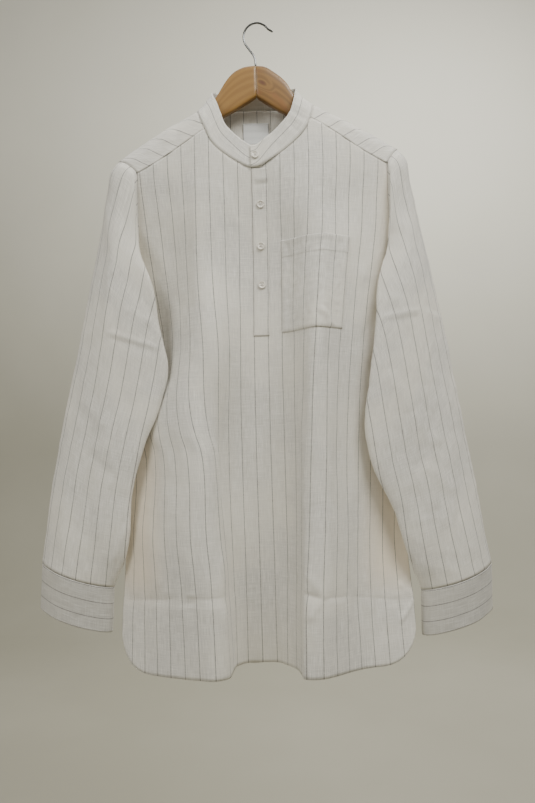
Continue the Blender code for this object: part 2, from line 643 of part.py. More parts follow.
def patch(flat, left, right, top, bottom):
    """A rectangle cut along the panel's own grid lines, so its facets match the panel's."""
    edge = 0.0012
    cols = []
    for c in range(flat.shape[1]):
        ends = np.interp(np.linspace(-top, -bottom, 15), -flat[:, c, 1], flat[:, c, 0])
        if left + edge < min(ends) and max(ends) < right - edge:
            cols.append(c)
    rows = []
    for r in range(flat.shape[0]):
        ends = np.interp(np.linspace(left, right, 15), flat[r, :, 0], flat[r, :, 1])
        if bottom + edge < min(ends) and max(ends) < top - edge:
            rows.append(r)

    def level(z):
        line = [(left, z)]
        for c in cols:
            line.append((np.interp(-z, -flat[:, c, 1], flat[:, c, 0]), z))
        return line + [(right, z)]

    grid = [level(top)]
    for r in rows:
        line = [(left, np.interp(left, flat[r, :, 0], flat[r, :, 1]))]
        line += [tuple(flat[r, c]) for c in cols]
        grid.append(line + [(right, np.interp(right, flat[r, :, 0], flat[r, :, 1]))])
    grid.append(level(bottom))
    return np.array(grid)


def add_mesh(name, verts, faces):
    mesh = bpy.data.meshes.new(name)
    mesh.from_pydata([tuple(float(c) for c in v) for v in verts], [], faces)
    mesh.update()
    obj = bpy.data.objects.new(name, mesh)
    collection.objects.link(obj)
    colour, rough, metal = LOOKS[name.split("_")[0]]
    mat = bpy.data.materials.new(name + "_mat")
    mat.use_nodes = True
    socket = mat.node_tree.nodes["Principled BSDF"].inputs
    socket["Base Color"].default_value = (*colour, 1.0)
    socket["Roughness"].default_value = rough
    socket["Metallic"].default_value = metal
    mesh.materials.append(mat)
    return obj


CLOTH = ((0.80, 0.78, 0.72), 0.9, 0.0)
LOOKS = {
    "front": CLOTH, "back": CLOTH, "yoke": CLOTH, "sleeve": CLOTH, "cuff": CLOTH,
    "collar": CLOTH, "placket": CLOTH, "pocket": CLOTH,
    "label": ((0.9, 0.9, 0.88), 0.8, 0.0),
    "button": ((0.72, 0.68, 0.58), 0.35, 0.0),
    "hanger": ((0.55, 0.40, 0.24), 0.45, 0.0),
    "hook": ((0.75, 0.75, 0.76), 0.2, 1.0),
}


def lathe(name, centre, axis, profile, sides):
    """A turned body: profile of (radius, height) along the axis, closed."""
    axis = np.array(axis, float)
    axis /= np.linalg.norm(axis)
    u = np.cross(axis, (0.0, 0.0, 1.0))
    u /= np.linalg.norm(u)
    v = np.cross(axis, u)
    verts = [np.array(centre) + axis * profile[0][1]]
    for r, h in profile[1:-1]:
        for k in range(sides):
            t = 2 * math.pi * k / sides
            verts.append(np.array(centre) + axis * h + r * (u * math.cos(t) + v * math.sin(t)))
    verts.append(np.array(centre) + axis * profile[-1][1])
    rings = len(profile) - 2
    faces = []
    for k in range(sides):
        m = (k + 1) % sides
        faces.append((0, 1 + m, 1 + k))
        for i in range(rings - 1):
            a = 1 + i * sides
            faces.append((a + k, a + m, a + sides + m, a + sides + k))
        a = 1 + (rings - 1) * sides
        faces.append((a + k, a + m, len(verts) - 1))
    return add_mesh(name, verts, faces)


def button(name, centre, normal):
    r, t = BUTTON_R, BUTTON_T
    profile = [(0, 0), (r * 0.80, 0), (r, t * 0.35), (r, t * 0.72), (r * 0.84, t),
               (r * 0.66, t * 0.72), (0, t * 0.72)]
    return lathe(name, centre, normal, profile, 16)


def tube(name, path, radius, sides):
    """A round wire along the path with rounded ends."""
    path = np.asarray(path, float)
    tang = np.gradient(path, axis=0)
    tang /= np.linalg.norm(tang, axis=1, keepdims=True)
    side = np.array((0.0, 1.0, 0.0))
    verts = [path[0] - tang[0] * radius * 0.9]
    stations = [(path[0] - tang[0] * radius * 0.5, tang[0], 0.7)]
    stations += [(p, t, 1.0) for p, t in zip(path, tang)]
    stations += [(path[-1] + tang[-1] * radius * 0.5, tang[-1], 0.7)]
    for p, t, share in stations:
        other = np.cross(t, side)
        other /= np.linalg.norm(other)
        across = np.cross(other, t)
        for k in range(sides):
            w = 2 * math.pi * k / sides
            verts.append(p + radius * share * (other * math.cos(w) + across * math.sin(w)))
    verts.append(path[-1] + tang[-1] * radius * 0.9)
    faces = []
    for k in range(sides):
        m = (k + 1) % sides
        faces.append((0, 1 + k, 1 + m))
        for i in range(len(stations) - 1):
            a = 1 + i * sides
            faces.append((a + m, a + k, a + sides + k, a + sides + m))
        a = 1 + (len(stations) - 1) * sides
        faces.append((a + m, a + k, len(verts) - 1))
    return add_mesh(name, verts, faces)


# Bands
def neck_loop(front, back, n):
    """The neck seam: from the centre front round the left, the back and the right."""
    f = np.array(NECK_FRONT)
    pts = front.at(f[:, 0], f[:, 1])
    lines = yoke_lines(front, back)[:, 0]
    half = 5
    loop = list(pts[half:0:-1]) + list(lines) + list(pts[-2:half - 1:-1])
    return along(loop, n)


def collar_grid(front, back, n, rows):
    """Rows from the seam to the top; the right end laps over the left one."""
    base = neck_loop(front, back, 161)
    centre = np.array((-0.009, -0.002, -0.16))
    out = []
    for r in range(rows + 1):
        t = r / rows
        raised = (COLLAR_SEAM + t * (COLLAR_HEIGHT - COLLAR_SEAM)) / COLLAR_HEIGHT
        ring = base.copy()
        side = np.abs(base[:, 0] - centre[0]) / 0.088
        back_part = step((base[:, 1] + 0.004) / 0.022)
        front_part = 1 - step((base[:, 1] + 0.026) / 0.020)
        across = np.clip(side, 0, 1)
        dx = -np.sign(base[:, 0] - centre[0]) * (0.0275 * across) * (1 - 0.35 * back_part)
        dy = 0.0035 * front_part - 0.0035 * back_part
        up = np.sqrt(np.maximum(COLLAR_HEIGHT ** 2 - dx ** 2 - dy ** 2, 1e-6))
        ring[:, 0] += dx * raised
        ring[:, 1] += dy * t
        ring[:, 2] += up * raised
        out.append(ring)
    grid = np.array(out)
    for _ in range(6):
        grid[:, 1:-1] = (grid[:, :-2] + 2 * grid[:, 1:-1] + grid[:, 2:]) / 4
    n_vec = grid_normals(grid, False)
    # the lap: the left end runs on under the right one
    run = np.concatenate([[0.0], np.cumsum(np.linalg.norm(np.diff(grid[0], axis=0), axis=1))])
    q = np.linspace(0.0, run[-1], n + 1)
    rows_out = []
    for r in range(rows + 1):
        p = np.stack([np.interp(q, run, grid[r][:, k]) for k in range(3)], axis=1)
        m = np.stack([np.interp(q, run, n_vec[r][:, k]) for k in range(3)], axis=1)
        rows_out.append((p, m))
    p = np.array([r[0] for r in rows_out])
    m = np.array([r[1] for r in rows_out])
    return p, m


def lapped(p, m, over, under, lift):
    """Lengthen an open band at both ends and lift its last end over the first."""
    end = np.array((-1.0, 0.0, 0.0))
    begin = np.array((0.940, 0.0, 0.340))
    more = []
    for k in range(1, 4):
        more.append(p[:, -1] + end * over * k / 3)
    less = []
    for k in range(3, 0, -1):
        less.append(p[:, 0] + begin * under * k / 3)
    q = np.concatenate([np.stack(less, axis=1), p, np.stack(more, axis=1)], axis=1)
    m = np.concatenate([np.repeat(m[:, :1], 3, axis=1), m, np.repeat(m[:, -1:], 3, axis=1)], axis=1)
    count = q.shape[1]
    share = step((np.arange(count) - (count - 9)) / 3.5)
    return q - m * (lift * share)[None, :, None]


# The hanger
def hanger_arm(sign):
    """One wooden arm: a rounded bar that narrows toward its tip."""
    x0 = -0.0062 + sign * 0.00015
    top_line = {
        -1: [(x0, -0.0678), (-0.0224, -0.0694), (-0.0378, -0.0762), (-0.0487, -0.0868),
             (-0.0582, -0.1010), (-0.0672, -0.1160), (-0.0810, -0.1300), (-0.0965, -0.1418),
             (-0.1250, -0.1572), (-0.1450, -0.1680), (-0.1650, -0.1801), (-0.1850, -0.1934),
             (-0.2080, -0.2093)],
        1: [(x0, -0.0678), (0.0080, -0.0700), (0.0200, -0.0776), (0.0319, -0.0872),
            (0.0408, -0.0975), (0.0475, -0.1100), (0.0585, -0.1262), (0.0769, -0.1388),
            (0.1000, -0.1490), (0.1200, -0.1584), (0.1400, -0.1686), (0.1600, -0.1804),
            (0.1800, -0.1933), (0.1950, -0.2031)],
    }[sign]
    low_line = {
        -1: [(x0, -0.1168), (-0.0237, -0.1282), (-0.0390, -0.1371), (-0.0588, -0.1480),
             (-0.0860, -0.1680), (-0.1180, -0.1865), (-0.1600, -0.2090), (-0.2010, -0.2330)],
        1: [(x0, -0.1168), (0.0065, -0.1259), (0.0213, -0.1357), (0.0376, -0.1455),
            (0.0660, -0.1640), (0.1020, -0.1815), (0.1460, -0.2030), (0.1880, -0.2255)],
    }[sign]
    n = 15
    top = along(top_line, n)
    low = along(low_line, n)
    rings = []
    for k in range(n):
        t = np.array((top[k][0], 0.0, top[k][1]))
        b = np.array((low[k][0], 0.0, low[k][1]))
        rings.append((t, b, 1.0))
    tip_dir = (rings[-1][0] + rings[-1][1]) / 2 - (rings[-2][0] + rings[-2][1]) / 2
    tip_dir /= np.linalg.norm(tip_dir)
    for move, share in ((0.0040, 0.86), (0.0066, 0.55)):
        mid = (rings[n - 1][0] + rings[n - 1][1]) / 2 + tip_dir * move
        half = (rings[n - 1][0] - rings[n - 1][1]) / 2 * share
        rings.append((mid + half, mid - half, share))
    section = [(0.0, 1.0), (0.62, 0.93), (1.0, 0.66), (1.0, -0.66), (0.62, -0.93),
               (0.0, -1.0), (-0.62, -0.93), (-1.0, -0.66), (-1.0, 0.66), (-0.62, 0.93)]
    verts = []
    for t, b, share in rings:
        mid = (t + b) / 2
        up = (t - b) / 2
        for y, h in section:
            verts.append(mid + up * h + np.array((0.0, y * WOOD_HALF * max(share, 0.6), 0.0)))
    m = len(section)
    faces = [tuple(range(m))]
    for i in range(len(rings) - 1):
        for k in range(m):
            a, b = i * m + k, i * m + (k + 1) % m
            faces.append((b, a, a + m, b + m))
    e = (len(rings) - 1) * m
    faces.append(tuple(e + k for k in reversed(range(m))))
    if sign < 0:
        faces = [tuple(reversed(f)) for f in faces]
    return add_mesh("hanger_left" if sign < 0 else "hanger_right", verts, faces)


HOOK_PATH = [(-0.0062, 0, -0.0659), (-0.0064, 0, -0.0600), (-0.0082, 0, -0.0520),
             (-0.0150, 0, -0.0410), (-0.0218, 0, -0.0300), (-0.0235, 0, -0.0205),
             (-0.0205, 0, -0.0095), (-0.0125, 0, -0.0010), (-0.0010, 0, 0.0016),
             (0.0085, 0, -0.0022), (0.0150, 0, -0.0090), (0.0205, 0, -0.0126)]


# The pieces
for old in list(bpy.data.objects):
    bpy.data.objects.remove(old, do_unlink=True)
collection = bpy.data.collections.new("kurta_on_hanger")
bpy.context.scene.collection.children.link(collection)

front = make_front()
back = make_back(front)

flat = panel_flat(front_edges(40), 19)
grid = front.at(flat[..., 0], flat[..., 1] - SEAM)
outer, normals, faces = shell("front", grid, WALL, flip=True)
skin = Skin(flat - (0.0, SEAM), outer, normals, faces)

# the placket, the pocket and the front buttons lie on the finished front
TRIM = 0.0012
LIFT = 0.0004
POCKET_LIFT = 0.0013
a, z = np.meshgrid(np.linspace(PLACKET_LEFT, PLACKET_RIGHT, 5),
                   np.linspace(PLACKET_TOP, PLACKET_BOTTOM, 22))
shell("placket", skin.at(a, z, LIFT), TRIM, flip=True)

pocket = patch(flat - (0.0, SEAM), POCKET_LEFT, POCKET_RIGHT, POCKET_TOP, POCKET_BOTTOM)
shell("pocket", skin.at(pocket[..., 0], pocket[..., 1], POCKET_LIFT), TRIM, flip=True)

for k, z in enumerate((-0.2925, -0.3540, -0.4110)):
    a = 0.0010
    spot = skin.at(np.array([a]), np.array([z]), LIFT + TRIM + 0.0004)[0]
    button("button_%d" % (k + 1), spot, skin.normal(a, z))

flat = panel_flat(back_edges(7 + YOKE_BACK + 7), 15)
grid = back.at(flat[..., 0], flat[..., 1] - SEAM)
shell("back", grid, WALL)

yoke = yoke_grid(front, back, 6, YOKE_ARM, YOKE_BACK)
shell("yoke", yoke, WALL)

# the bare label on the inside of the back neck
rail = yoke[:, YOKE_ARM + YOKE_BACK // 2]
label_z = np.linspace(-0.1456, -0.1800, 4)
label_y = np.interp(-label_z, -rail[:, 2], rail[:, 1]) - 0.0007
x, z = np.meshgrid(np.linspace(-0.0285, 0.0112, 5), label_z)
shell("label", np.stack([x, np.repeat(label_y[:, None], 5, axis=1), z], axis=-1), 0.0006, flip=True)

# steps round a sleeve: on its front layer, under the arm and on its back layer
SLEEVE_STEPS = (12, 6, 9)
SLEEVE_ROWS = 15
CUFF_STEPS = (40, 12, 36)
CUFF_OPENS = 14         # the cuff's ends meet this many steps round its back layer
CUFF_GAP = 0.0010       # the cuff starts this far below the sleeve
for sign, side in ((-1, "left"), (1, "right")):
    grid = sleeve_grid(front, back, sign, *SLEEVE_STEPS, SLEEVE_ROWS)
    shell("sleeve_" + side, grid, WALL, flip=(sign < 0), wrap=True)

    ring = sleeve_rings(front, back, sign, *CUFF_STEPS)[-1]
    drop = np.array(CUFF_DROP[sign])
    unit = drop / np.linalg.norm(drop)
    # the band starts and ends on the back layer
    begin = CUFF_STEPS[0] + CUFF_STEPS[1] + CUFF_OPENS
    order = [(begin + k) % len(ring) for k in range(len(ring) + 9)]
    line = ring[order] if sign < 0 else ring[order[::-1]]
    line = along(line, 41, bend=False)
    rows = np.array([line + unit * (CUFF_GAP + CUFF_HEIGHT * t) for t in (0.0, 0.34, 0.67, 1.0)])
    normal = grid_normals(rows, False)
    count = rows.shape[1]
    lap = 0.0024 * step((np.arange(count) - (count - 8)) / 3.0)
    rows = rows + normal * (0.0001 + lap)[None, :, None] * -1
    shell("cuff_" + side, rows, BAND_WALL, flip=True)
    spot = rows[1:3, -4].mean(axis=0)
    away = -normal[1, -4]
    button("button_cuff_" + side, spot + away * (BAND_WALL + 0.0006), away)

COLLAR_LAP = 0.0075
COLLAR_LIFT = 0.0028    # the over end stands this far in front of the under end
base, normal = collar_grid(front, back, 44, 2)
rows = lapped(base, normal, COLLAR_LAP, COLLAR_LAP, COLLAR_LIFT)
shell("collar_band", rows, BAND_WALL, flip=True)
away = -normal[1, -1]
button("button_collar", rows[1, -3] + away * (BAND_WALL + 0.0006), away)

tube("hook", along(HOOK_PATH, 30), WIRE_R, 10)
hanger_arm(-1)
hanger_arm(1)
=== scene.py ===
import math

import bpy
import numpy as np
from mathutils import Matrix, Vector


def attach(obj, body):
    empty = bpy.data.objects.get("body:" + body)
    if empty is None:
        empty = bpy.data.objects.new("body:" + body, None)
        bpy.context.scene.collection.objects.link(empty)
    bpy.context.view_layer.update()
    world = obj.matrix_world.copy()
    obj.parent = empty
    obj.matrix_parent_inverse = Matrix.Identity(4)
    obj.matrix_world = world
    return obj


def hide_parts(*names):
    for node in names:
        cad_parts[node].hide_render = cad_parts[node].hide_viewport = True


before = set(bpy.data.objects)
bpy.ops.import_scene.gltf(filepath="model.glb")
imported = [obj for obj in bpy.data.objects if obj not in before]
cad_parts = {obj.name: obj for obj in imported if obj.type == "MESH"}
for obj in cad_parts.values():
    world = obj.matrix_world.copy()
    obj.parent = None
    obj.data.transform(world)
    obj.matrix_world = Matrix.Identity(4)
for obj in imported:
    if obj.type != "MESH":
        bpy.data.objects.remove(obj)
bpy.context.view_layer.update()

# Cloth sizes
PITCH = 0.0208          # column spacing of the fold tables
HALF_FRONT = 0.260      # half of the front's flat width
HALF_BACK = 0.245       # half of the back's flat width
WALL = 0.0013           # body cloth with its seam allowances
SEAM = 0.0002           # half of the gap left at a seam
UNDERARM_Z = -0.445
SLIT_Z = -0.855
CORNER_Z = -0.890
HEM_Z = -0.943
BACK_HEM_Z = -0.952
COLLAR_HEIGHT = 0.0345
COLLAR_SEAM = 0.0012    # the band starts this far above the neck seam
CUFF_HEIGHT = 0.0615
PLACKET_LEFT = -0.0108
PLACKET_RIGHT = 0.0124
PLACKET_TOP = -0.2410
PLACKET_BOTTOM = -0.4855
POCKET_LEFT = 0.0312
POCKET_RIGHT = 0.1372
POCKET_TOP = -0.3475
POCKET_BOTTOM = -0.4830
BUTTON_R = 0.0055
BUTTON_T = 0.0024
WIRE_R = 0.0016
WOOD_HALF = 0.0066

# How far the front stands forward, in millimetres of y, by height.
# The columns run from the left side seam to the right one, PITCH apart.
FRONT_Y = {
    -0.150: [-22, -22, -22, -22, -22, -22, -23, -24, -26, -28, -29, -30, -30,
             -30, -30, -30, -29, -28, -26, -25, -24, -23, -22, -22, -22, -22],
    -0.235: [-21, -21, -21, -21, -21, -21, -22, -24, -29, -32, -32, -31, -31,
             -31, -33, -36, -38, -36, -31, -27, -25, -24, -23, -23, -23, -23],
    -0.290: [-10, -10, -10, -10, -11, -12, -14, -21, -31, -34, -31, -27, -25,
             -25, -30, -38, -43, -40, -32, -27, -24, -22, -21, -20, -18, -17],
    -0.359: [12, 11, 9, 8, 5, 1, -7, -19, -31, -33, -27, -22, -20,
             -20, -23, -32, -44, -50, -43, -35, -27, -23, -19, -15, -10, -6],
    -0.499: [15, 14, 13, 9, 1, -14, -30, -44, -53, -53, -39, -25, -20,
             -20, -26, -38, -54, -68, -60, -48, -37, -27, -19, -12, -6, 0],
    -0.664: [-1, -12, -23, -37, -52, -64, -74, -78, -64, -43, -27, -19, -20,
             -20, -26, -40, -59, -76, -73, -59, -45, -34, -25, -18, -12, -7],
    -0.777: [-18, -33, -47, -60, -71, -81, -89, -89, -77, -57, -38, -27, -23,
             -23, -30, -46, -66, -84, -86, -75, -61, -47, -37, -29, -19, -11],
    -0.862: [-33, -46, -57, -68, -77, -86, -93, -96, -84, -61, -41, -28, -25,
             -26, -38, -55, -75, -95, -97, -86, -73, -60, -52, -46, -41, -36],
    -0.960: [-46, -57, -65, -74, -83, -90, -96, -101, -89, -65, -44, -30, -29,
             -31, -46, -63, -83, -104, -104, -94, -82, -72, -65, -61, -59, -56],
}
CENTRE_X = {-0.150: -0.0055, -0.235: -0.0055, -0.359: -0.0063, -0.499: -0.0088, -0.960: -0.0082}
# Height of the back's resting line in y, before its own folds are added.
BACK_Y = {-0.150: 0.022, -0.225: 0.020, -0.300: 0.019, -0.400: 0.020, -0.500: 0.021,
          -0.664: 0.010, -0.777: 0.002, -0.960: -0.004}


def smooth(xs, ys, q):
    """Curve through the knots (xs rising); ys may hold rows of values."""
    xs = np.asarray(xs, float)
    ys = np.asarray(ys, float)
    q = np.asarray(q, float)
    flat = ys.reshape(len(xs), -1)
    h = np.diff(xs)[:, None]
    d = np.diff(flat, axis=0) / h
    m = np.empty_like(flat)
    m[0] = d[0]
    m[-1] = d[-1]
    if len(xs) > 2:
        m[1:-1] = (d[:-1] * h[1:] + d[1:] * h[:-1]) / (h[1:] + h[:-1])
    i = np.clip(np.searchsorted(xs, q) - 1, 0, len(xs) - 2)
    w = xs[i + 1] - xs[i]
    t = np.clip((q - xs[i]) / w, 0.0, 1.0)[:, None]
    w = w[:, None]
    out = ((2 * t ** 3 - 3 * t ** 2 + 1) * flat[i] + (t ** 3 - 2 * t ** 2 + t) * w * m[i]
           + (-2 * t ** 3 + 3 * t ** 2) * flat[i + 1] + (t ** 3 - t ** 2) * w * m[i + 1])
    return out.reshape((len(q),) + ys.shape[1:])


def knots(table):
    zs = sorted(table)
    return np.array(zs), np.array([table[z] for z in zs], float)


def step(x):
    """Smooth rise from 0 to 1."""
    x = np.clip(x, 0.0, 1.0)
    return x * x * (3.0 - 2.0 * x)


def summed(gaps):
    return np.concatenate([[0.0], np.cumsum(gaps)])


def lengths(points):
    """Distance of each point along a line of points, from its start."""
    return summed(np.linalg.norm(np.diff(points, axis=0), axis=1))


def sampled(q, run, points):
    """Points of a line at the distances q, where run holds its own distances."""
    return np.stack([np.interp(q, run, points[:, k]) for k in range(points.shape[1])], axis=1)


def unit(v):
    return v / np.maximum(np.linalg.norm(v, axis=-1, keepdims=True), 1e-12)


def eased(values, rounds):
    """Rows evened out against their neighbours, in place."""
    for _ in range(rounds):
        values[1:-1] = (values[:-2] + 2 * values[1:-1] + values[2:]) / 4
    return values


class Panel:
    """A folded cloth panel held as fine tables of x and y over (a, z)."""

    def __init__(self, half, side):
        self.half = half
        self.side = side
        self.a = np.linspace(-half, half, 261)
        self.z = np.linspace(-0.96, -0.15, 163)

    def set_tables(self, x, y):
        self.x = x
        self.y = y

    def read(self, table, a, z):
        ia = np.clip((a - self.a[0]) / (self.a[1] - self.a[0]), 0, len(self.a) - 1.0001)
        iz = np.clip((z - self.z[0]) / (self.z[1] - self.z[0]), 0, len(self.z) - 1.0001)
        i = ia.astype(int)
        j = iz.astype(int)
        u = ia - i
        v = iz - j
        return ((table[j, i] * (1 - u) + table[j, i + 1] * u) * (1 - v)
                + (table[j + 1, i] * (1 - u) + table[j + 1, i + 1] * u) * v)

    def surface(self, a, z):
        a = np.asarray(a, float)
        z = np.asarray(z, float)
        return np.stack([self.read(self.x, a, z), self.read(self.y, a, z), z], axis=-1)

    def normal(self, a, z):
        """Unit normal that points out of the garment."""
        e = 0.003
        pa = self.surface(a + e, z) - self.surface(a - e, z)
        pz = self.surface(a, z + e) - self.surface(a, z - e)
        return unit(np.cross(pa, pz)) * self.side

    def at(self, a, z, out=0.0):
        p = self.surface(a, z)
        if out:
            p = p + self.normal(a, z) * out
        return p


def widths(y, a):
    """x from the centre, for cloth that keeps its length: rows of y over a."""
    dy = np.diff(y, axis=1)
    da = a[1] - a[0]
    dx = np.sqrt(np.maximum(da * da - dy * dy, (0.12 * da) ** 2))
    x = np.concatenate([np.zeros((len(y), 1)), np.cumsum(dx, axis=1)], axis=1)
    mid = len(a) // 2
    return x - x[:, mid:mid + 1]


def make_front():
    panel = Panel(HALF_FRONT, 1.0)
    zs, rows = knots(FRONT_Y)
    by_z = smooth(zs, rows, panel.z) / 1000.0
    cols = (np.arange(26) - 12.5) * PITCH
    y = smooth(cols, by_z.T, panel.a).T
    cz, cx = knots(CENTRE_X)
    x = widths(y, panel.a) + smooth(cz, cx, panel.z)[:, None]
    panel.set_tables(x, y)
    return panel


def spans(s, row):
    """Widths that steps of s along the cloth leave in x, once the cloth rises with row."""
    return np.sqrt(np.maximum(np.diff(s) ** 2 - np.diff(row) ** 2, 1e-9))


def make_back(front):
    """The back's folds are as deep as its width asks for at each height."""
    panel = Panel(HALF_BACK, -1.0)
    bz, by = knots(BACK_Y)
    rest = smooth(bz, by, panel.z)
    cz, cx = knots(CENTRE_X)
    centre = smooth(cz, cx, panel.z)
    edge = {}
    for sign in (-1, 1):
        edge[sign] = front.surface(np.full(len(panel.z), sign * HALF_FRONT), panel.z)
    y = np.zeros((len(panel.z), len(panel.a)))
    x = np.zeros_like(y)
    for sign in (-1, 1):
        pick = panel.a * sign >= -1e-9
        s = np.abs(panel.a[pick])
        order = np.argsort(s)
        s = s[order]
        near = step((s - 0.165) / (HALF_BACK - 0.165))
        u = np.clip((HALF_BACK - s) / 0.09, 0, 1)
        swell = 4 * u * (1 - u) * (1 - 0.5 * u)
        wave = 0.5 - 0.5 * np.cos(2 * math.pi * (s - 0.012 * sign - 0.035) / 0.098)
        wave = wave * step((s + 0.03) / 0.06) * (1 - step((s - 0.185) / 0.06))
        for j, z in enumerate(panel.z):
            seam_y = edge[sign][j, 1] + 2 * SEAM + 0.26 * max(0.0, SLIT_Z - z)
            line = rest[j] + (seam_y - rest[j]) * near + 0.0090 * swell
            target = abs(edge[sign][j, 0] - centre[j])
            low, high = 0.0, 0.055
            for _ in range(22):
                depth = 0.5 * (low + high)
                if spans(s, line + depth * wave).sum() > target:
                    low = depth
                else:
                    high = depth
            row = line + depth * wave
            run = summed(spans(s, row))
            run = run * (1 + step((s / HALF_BACK)) * (target / run[-1] - 1))
            idx = np.where(pick)[0][order]
            y[j, idx] = row
            x[j, idx] = centre[j] + sign * run
    # even out the small differences between neighbouring heights
    panel.set_tables(eased(x, 3), eased(y, 3))
    return panel


def along(points, n, bend=True):
    """n points evenly spaced along a line through the given points."""
    points = np.asarray(points, float)
    run = lengths(points)
    if bend and len(points) > 2:
        points = smooth(run, points, np.linspace(0, run[-1], 40 * len(points)))
        run = lengths(points)
    return sampled(np.linspace(0, run[-1], n), run, points)


# Cut lines in flat coordinates (a, z)
FRONT_ARM = {
    -1: [(-0.260, UNDERARM_Z), (-0.244, -0.438), (-0.224, -0.419), (-0.204, -0.386),
         (-0.192, -0.340), (-0.186, -0.290), (-0.180, -0.2385)],
    1: [(0.260, UNDERARM_Z), (0.247, -0.438), (0.229, -0.419), (0.211, -0.386),
        (0.200, -0.340), (0.195, -0.290), (0.190, -0.2350)],
}
FRONT_YOKE = {
    -1: [(-0.180, -0.2385), (-0.146, -0.2200), (-0.112, -0.1985), (-0.0775, -0.1775)],
    1: [(0.190, -0.2350), (0.152, -0.2130), (0.114, -0.1880), (0.0775, -0.1660)],
}
NECK_FRONT = [(-0.0775, -0.1775), (-0.0690, -0.1975), (-0.0500, -0.2170), (-0.0270, -0.2325),
              (-0.0140, -0.2388), (-0.0040, -0.2396), (0.0050, -0.2366), (0.0170, -0.2288),
              (0.0290, -0.2212), (0.0530, -0.2022), (0.0700, -0.1826), (0.0775, -0.1660)]
BACK_ARM = {
    -1: [(-0.245, UNDERARM_Z), (-0.229, -0.438), (-0.210, -0.418), (-0.192, -0.384),
         (-0.181, -0.338), (-0.175, -0.290), (-0.172, -0.2520)],
    1: [(0.245, UNDERARM_Z), (0.229, -0.438), (0.210, -0.418), (0.192, -0.384),
        (0.183, -0.338), (0.177, -0.290), (0.172, -0.2480)],
}
BACK_END = 0.172        # half of the back seam of the yoke, across the cloth
BACK_YOKE = [(-0.172, -0.2520), (-0.120, -0.2400), (-0.060, -0.2300), (0.000, -0.2260),
             (0.060, -0.2285), (0.120, -0.2370), (0.172, -0.2480)]


def hem_line(half, hem_z):
    """The lower edge from side to side with its two rounded corners."""
    r_a = 0.050
    r_z = hem_z - CORNER_Z
    left = [(-half + r_a * (1 - math.cos(t)), CORNER_Z + r_z * math.sin(t))
            for t in np.linspace(0, math.pi / 2, 9)]
    right = [(-p[0], p[1]) for p in reversed(left)]
    return np.array(left + [(-half * 0.4, hem_z), (0.0, hem_z), (half * 0.4, hem_z)] + right)


def split(total, shares):
    counts = [max(1, int(round(total * s / sum(shares)))) for s in shares]
    counts[len(counts) // 2] += total - sum(counts)
    return counts


def joined(parts, counts):
    """Edge points through several lines, each cut into its count of steps."""
    out = []
    for line, count in zip(parts, counts):
        pts = along(line, count + 1)
        out.extend(pts if not out else pts[1:])
    return np.array(out)


def front_edges(columns):
    """The front's top edge and its hem, cut into the same steps."""
    counts = split(columns, [7, 5, 12, 5, 7])
    top = joined([FRONT_ARM[-1], FRONT_YOKE[-1], NECK_FRONT, FRONT_YOKE[1][::-1], FRONT_ARM[1][::-1]],
                 counts)
    stops = [-HALF_FRONT, -0.176, -0.0775, 0.0775, 0.184, HALF_FRONT]
    return top, hem_steps(hem_line(HALF_FRONT, HEM_Z), stops, counts)


def back_edges(arm, middle):
    """The back's top edge and its hem, with arm steps beside each armhole."""
    counts = [arm, middle, arm]
    top = joined([BACK_ARM[-1], BACK_YOKE, BACK_ARM[1][::-1]], counts)
    stops = [-HALF_BACK, -0.160, 0.160, HALF_BACK]
    return top, hem_steps(hem_line(HALF_BACK, BACK_HEM_Z), stops, counts)


def hem_steps(hem, stops, counts):
    run = lengths(hem)
    marks = np.interp(stops, hem[:, 0], run)
    marks[0] = 0.0
    marks[-1] = run[-1]
    q = []
    for k, count in enumerate(counts):
        q.extend(list(np.linspace(marks[k], marks[k + 1], count + 1))[(1 if q else 0):])
    return sampled(q, run, hem)


# The shoulder piece
NECK_SIDE = {-1: (-0.0965, 0.000, -0.1377), 1: (0.0769, 0.000, -0.1347)}
TIP = {-1: (-0.2165, 0.000, -0.2135), 1: (0.2035, 0.000, -0.2065)}


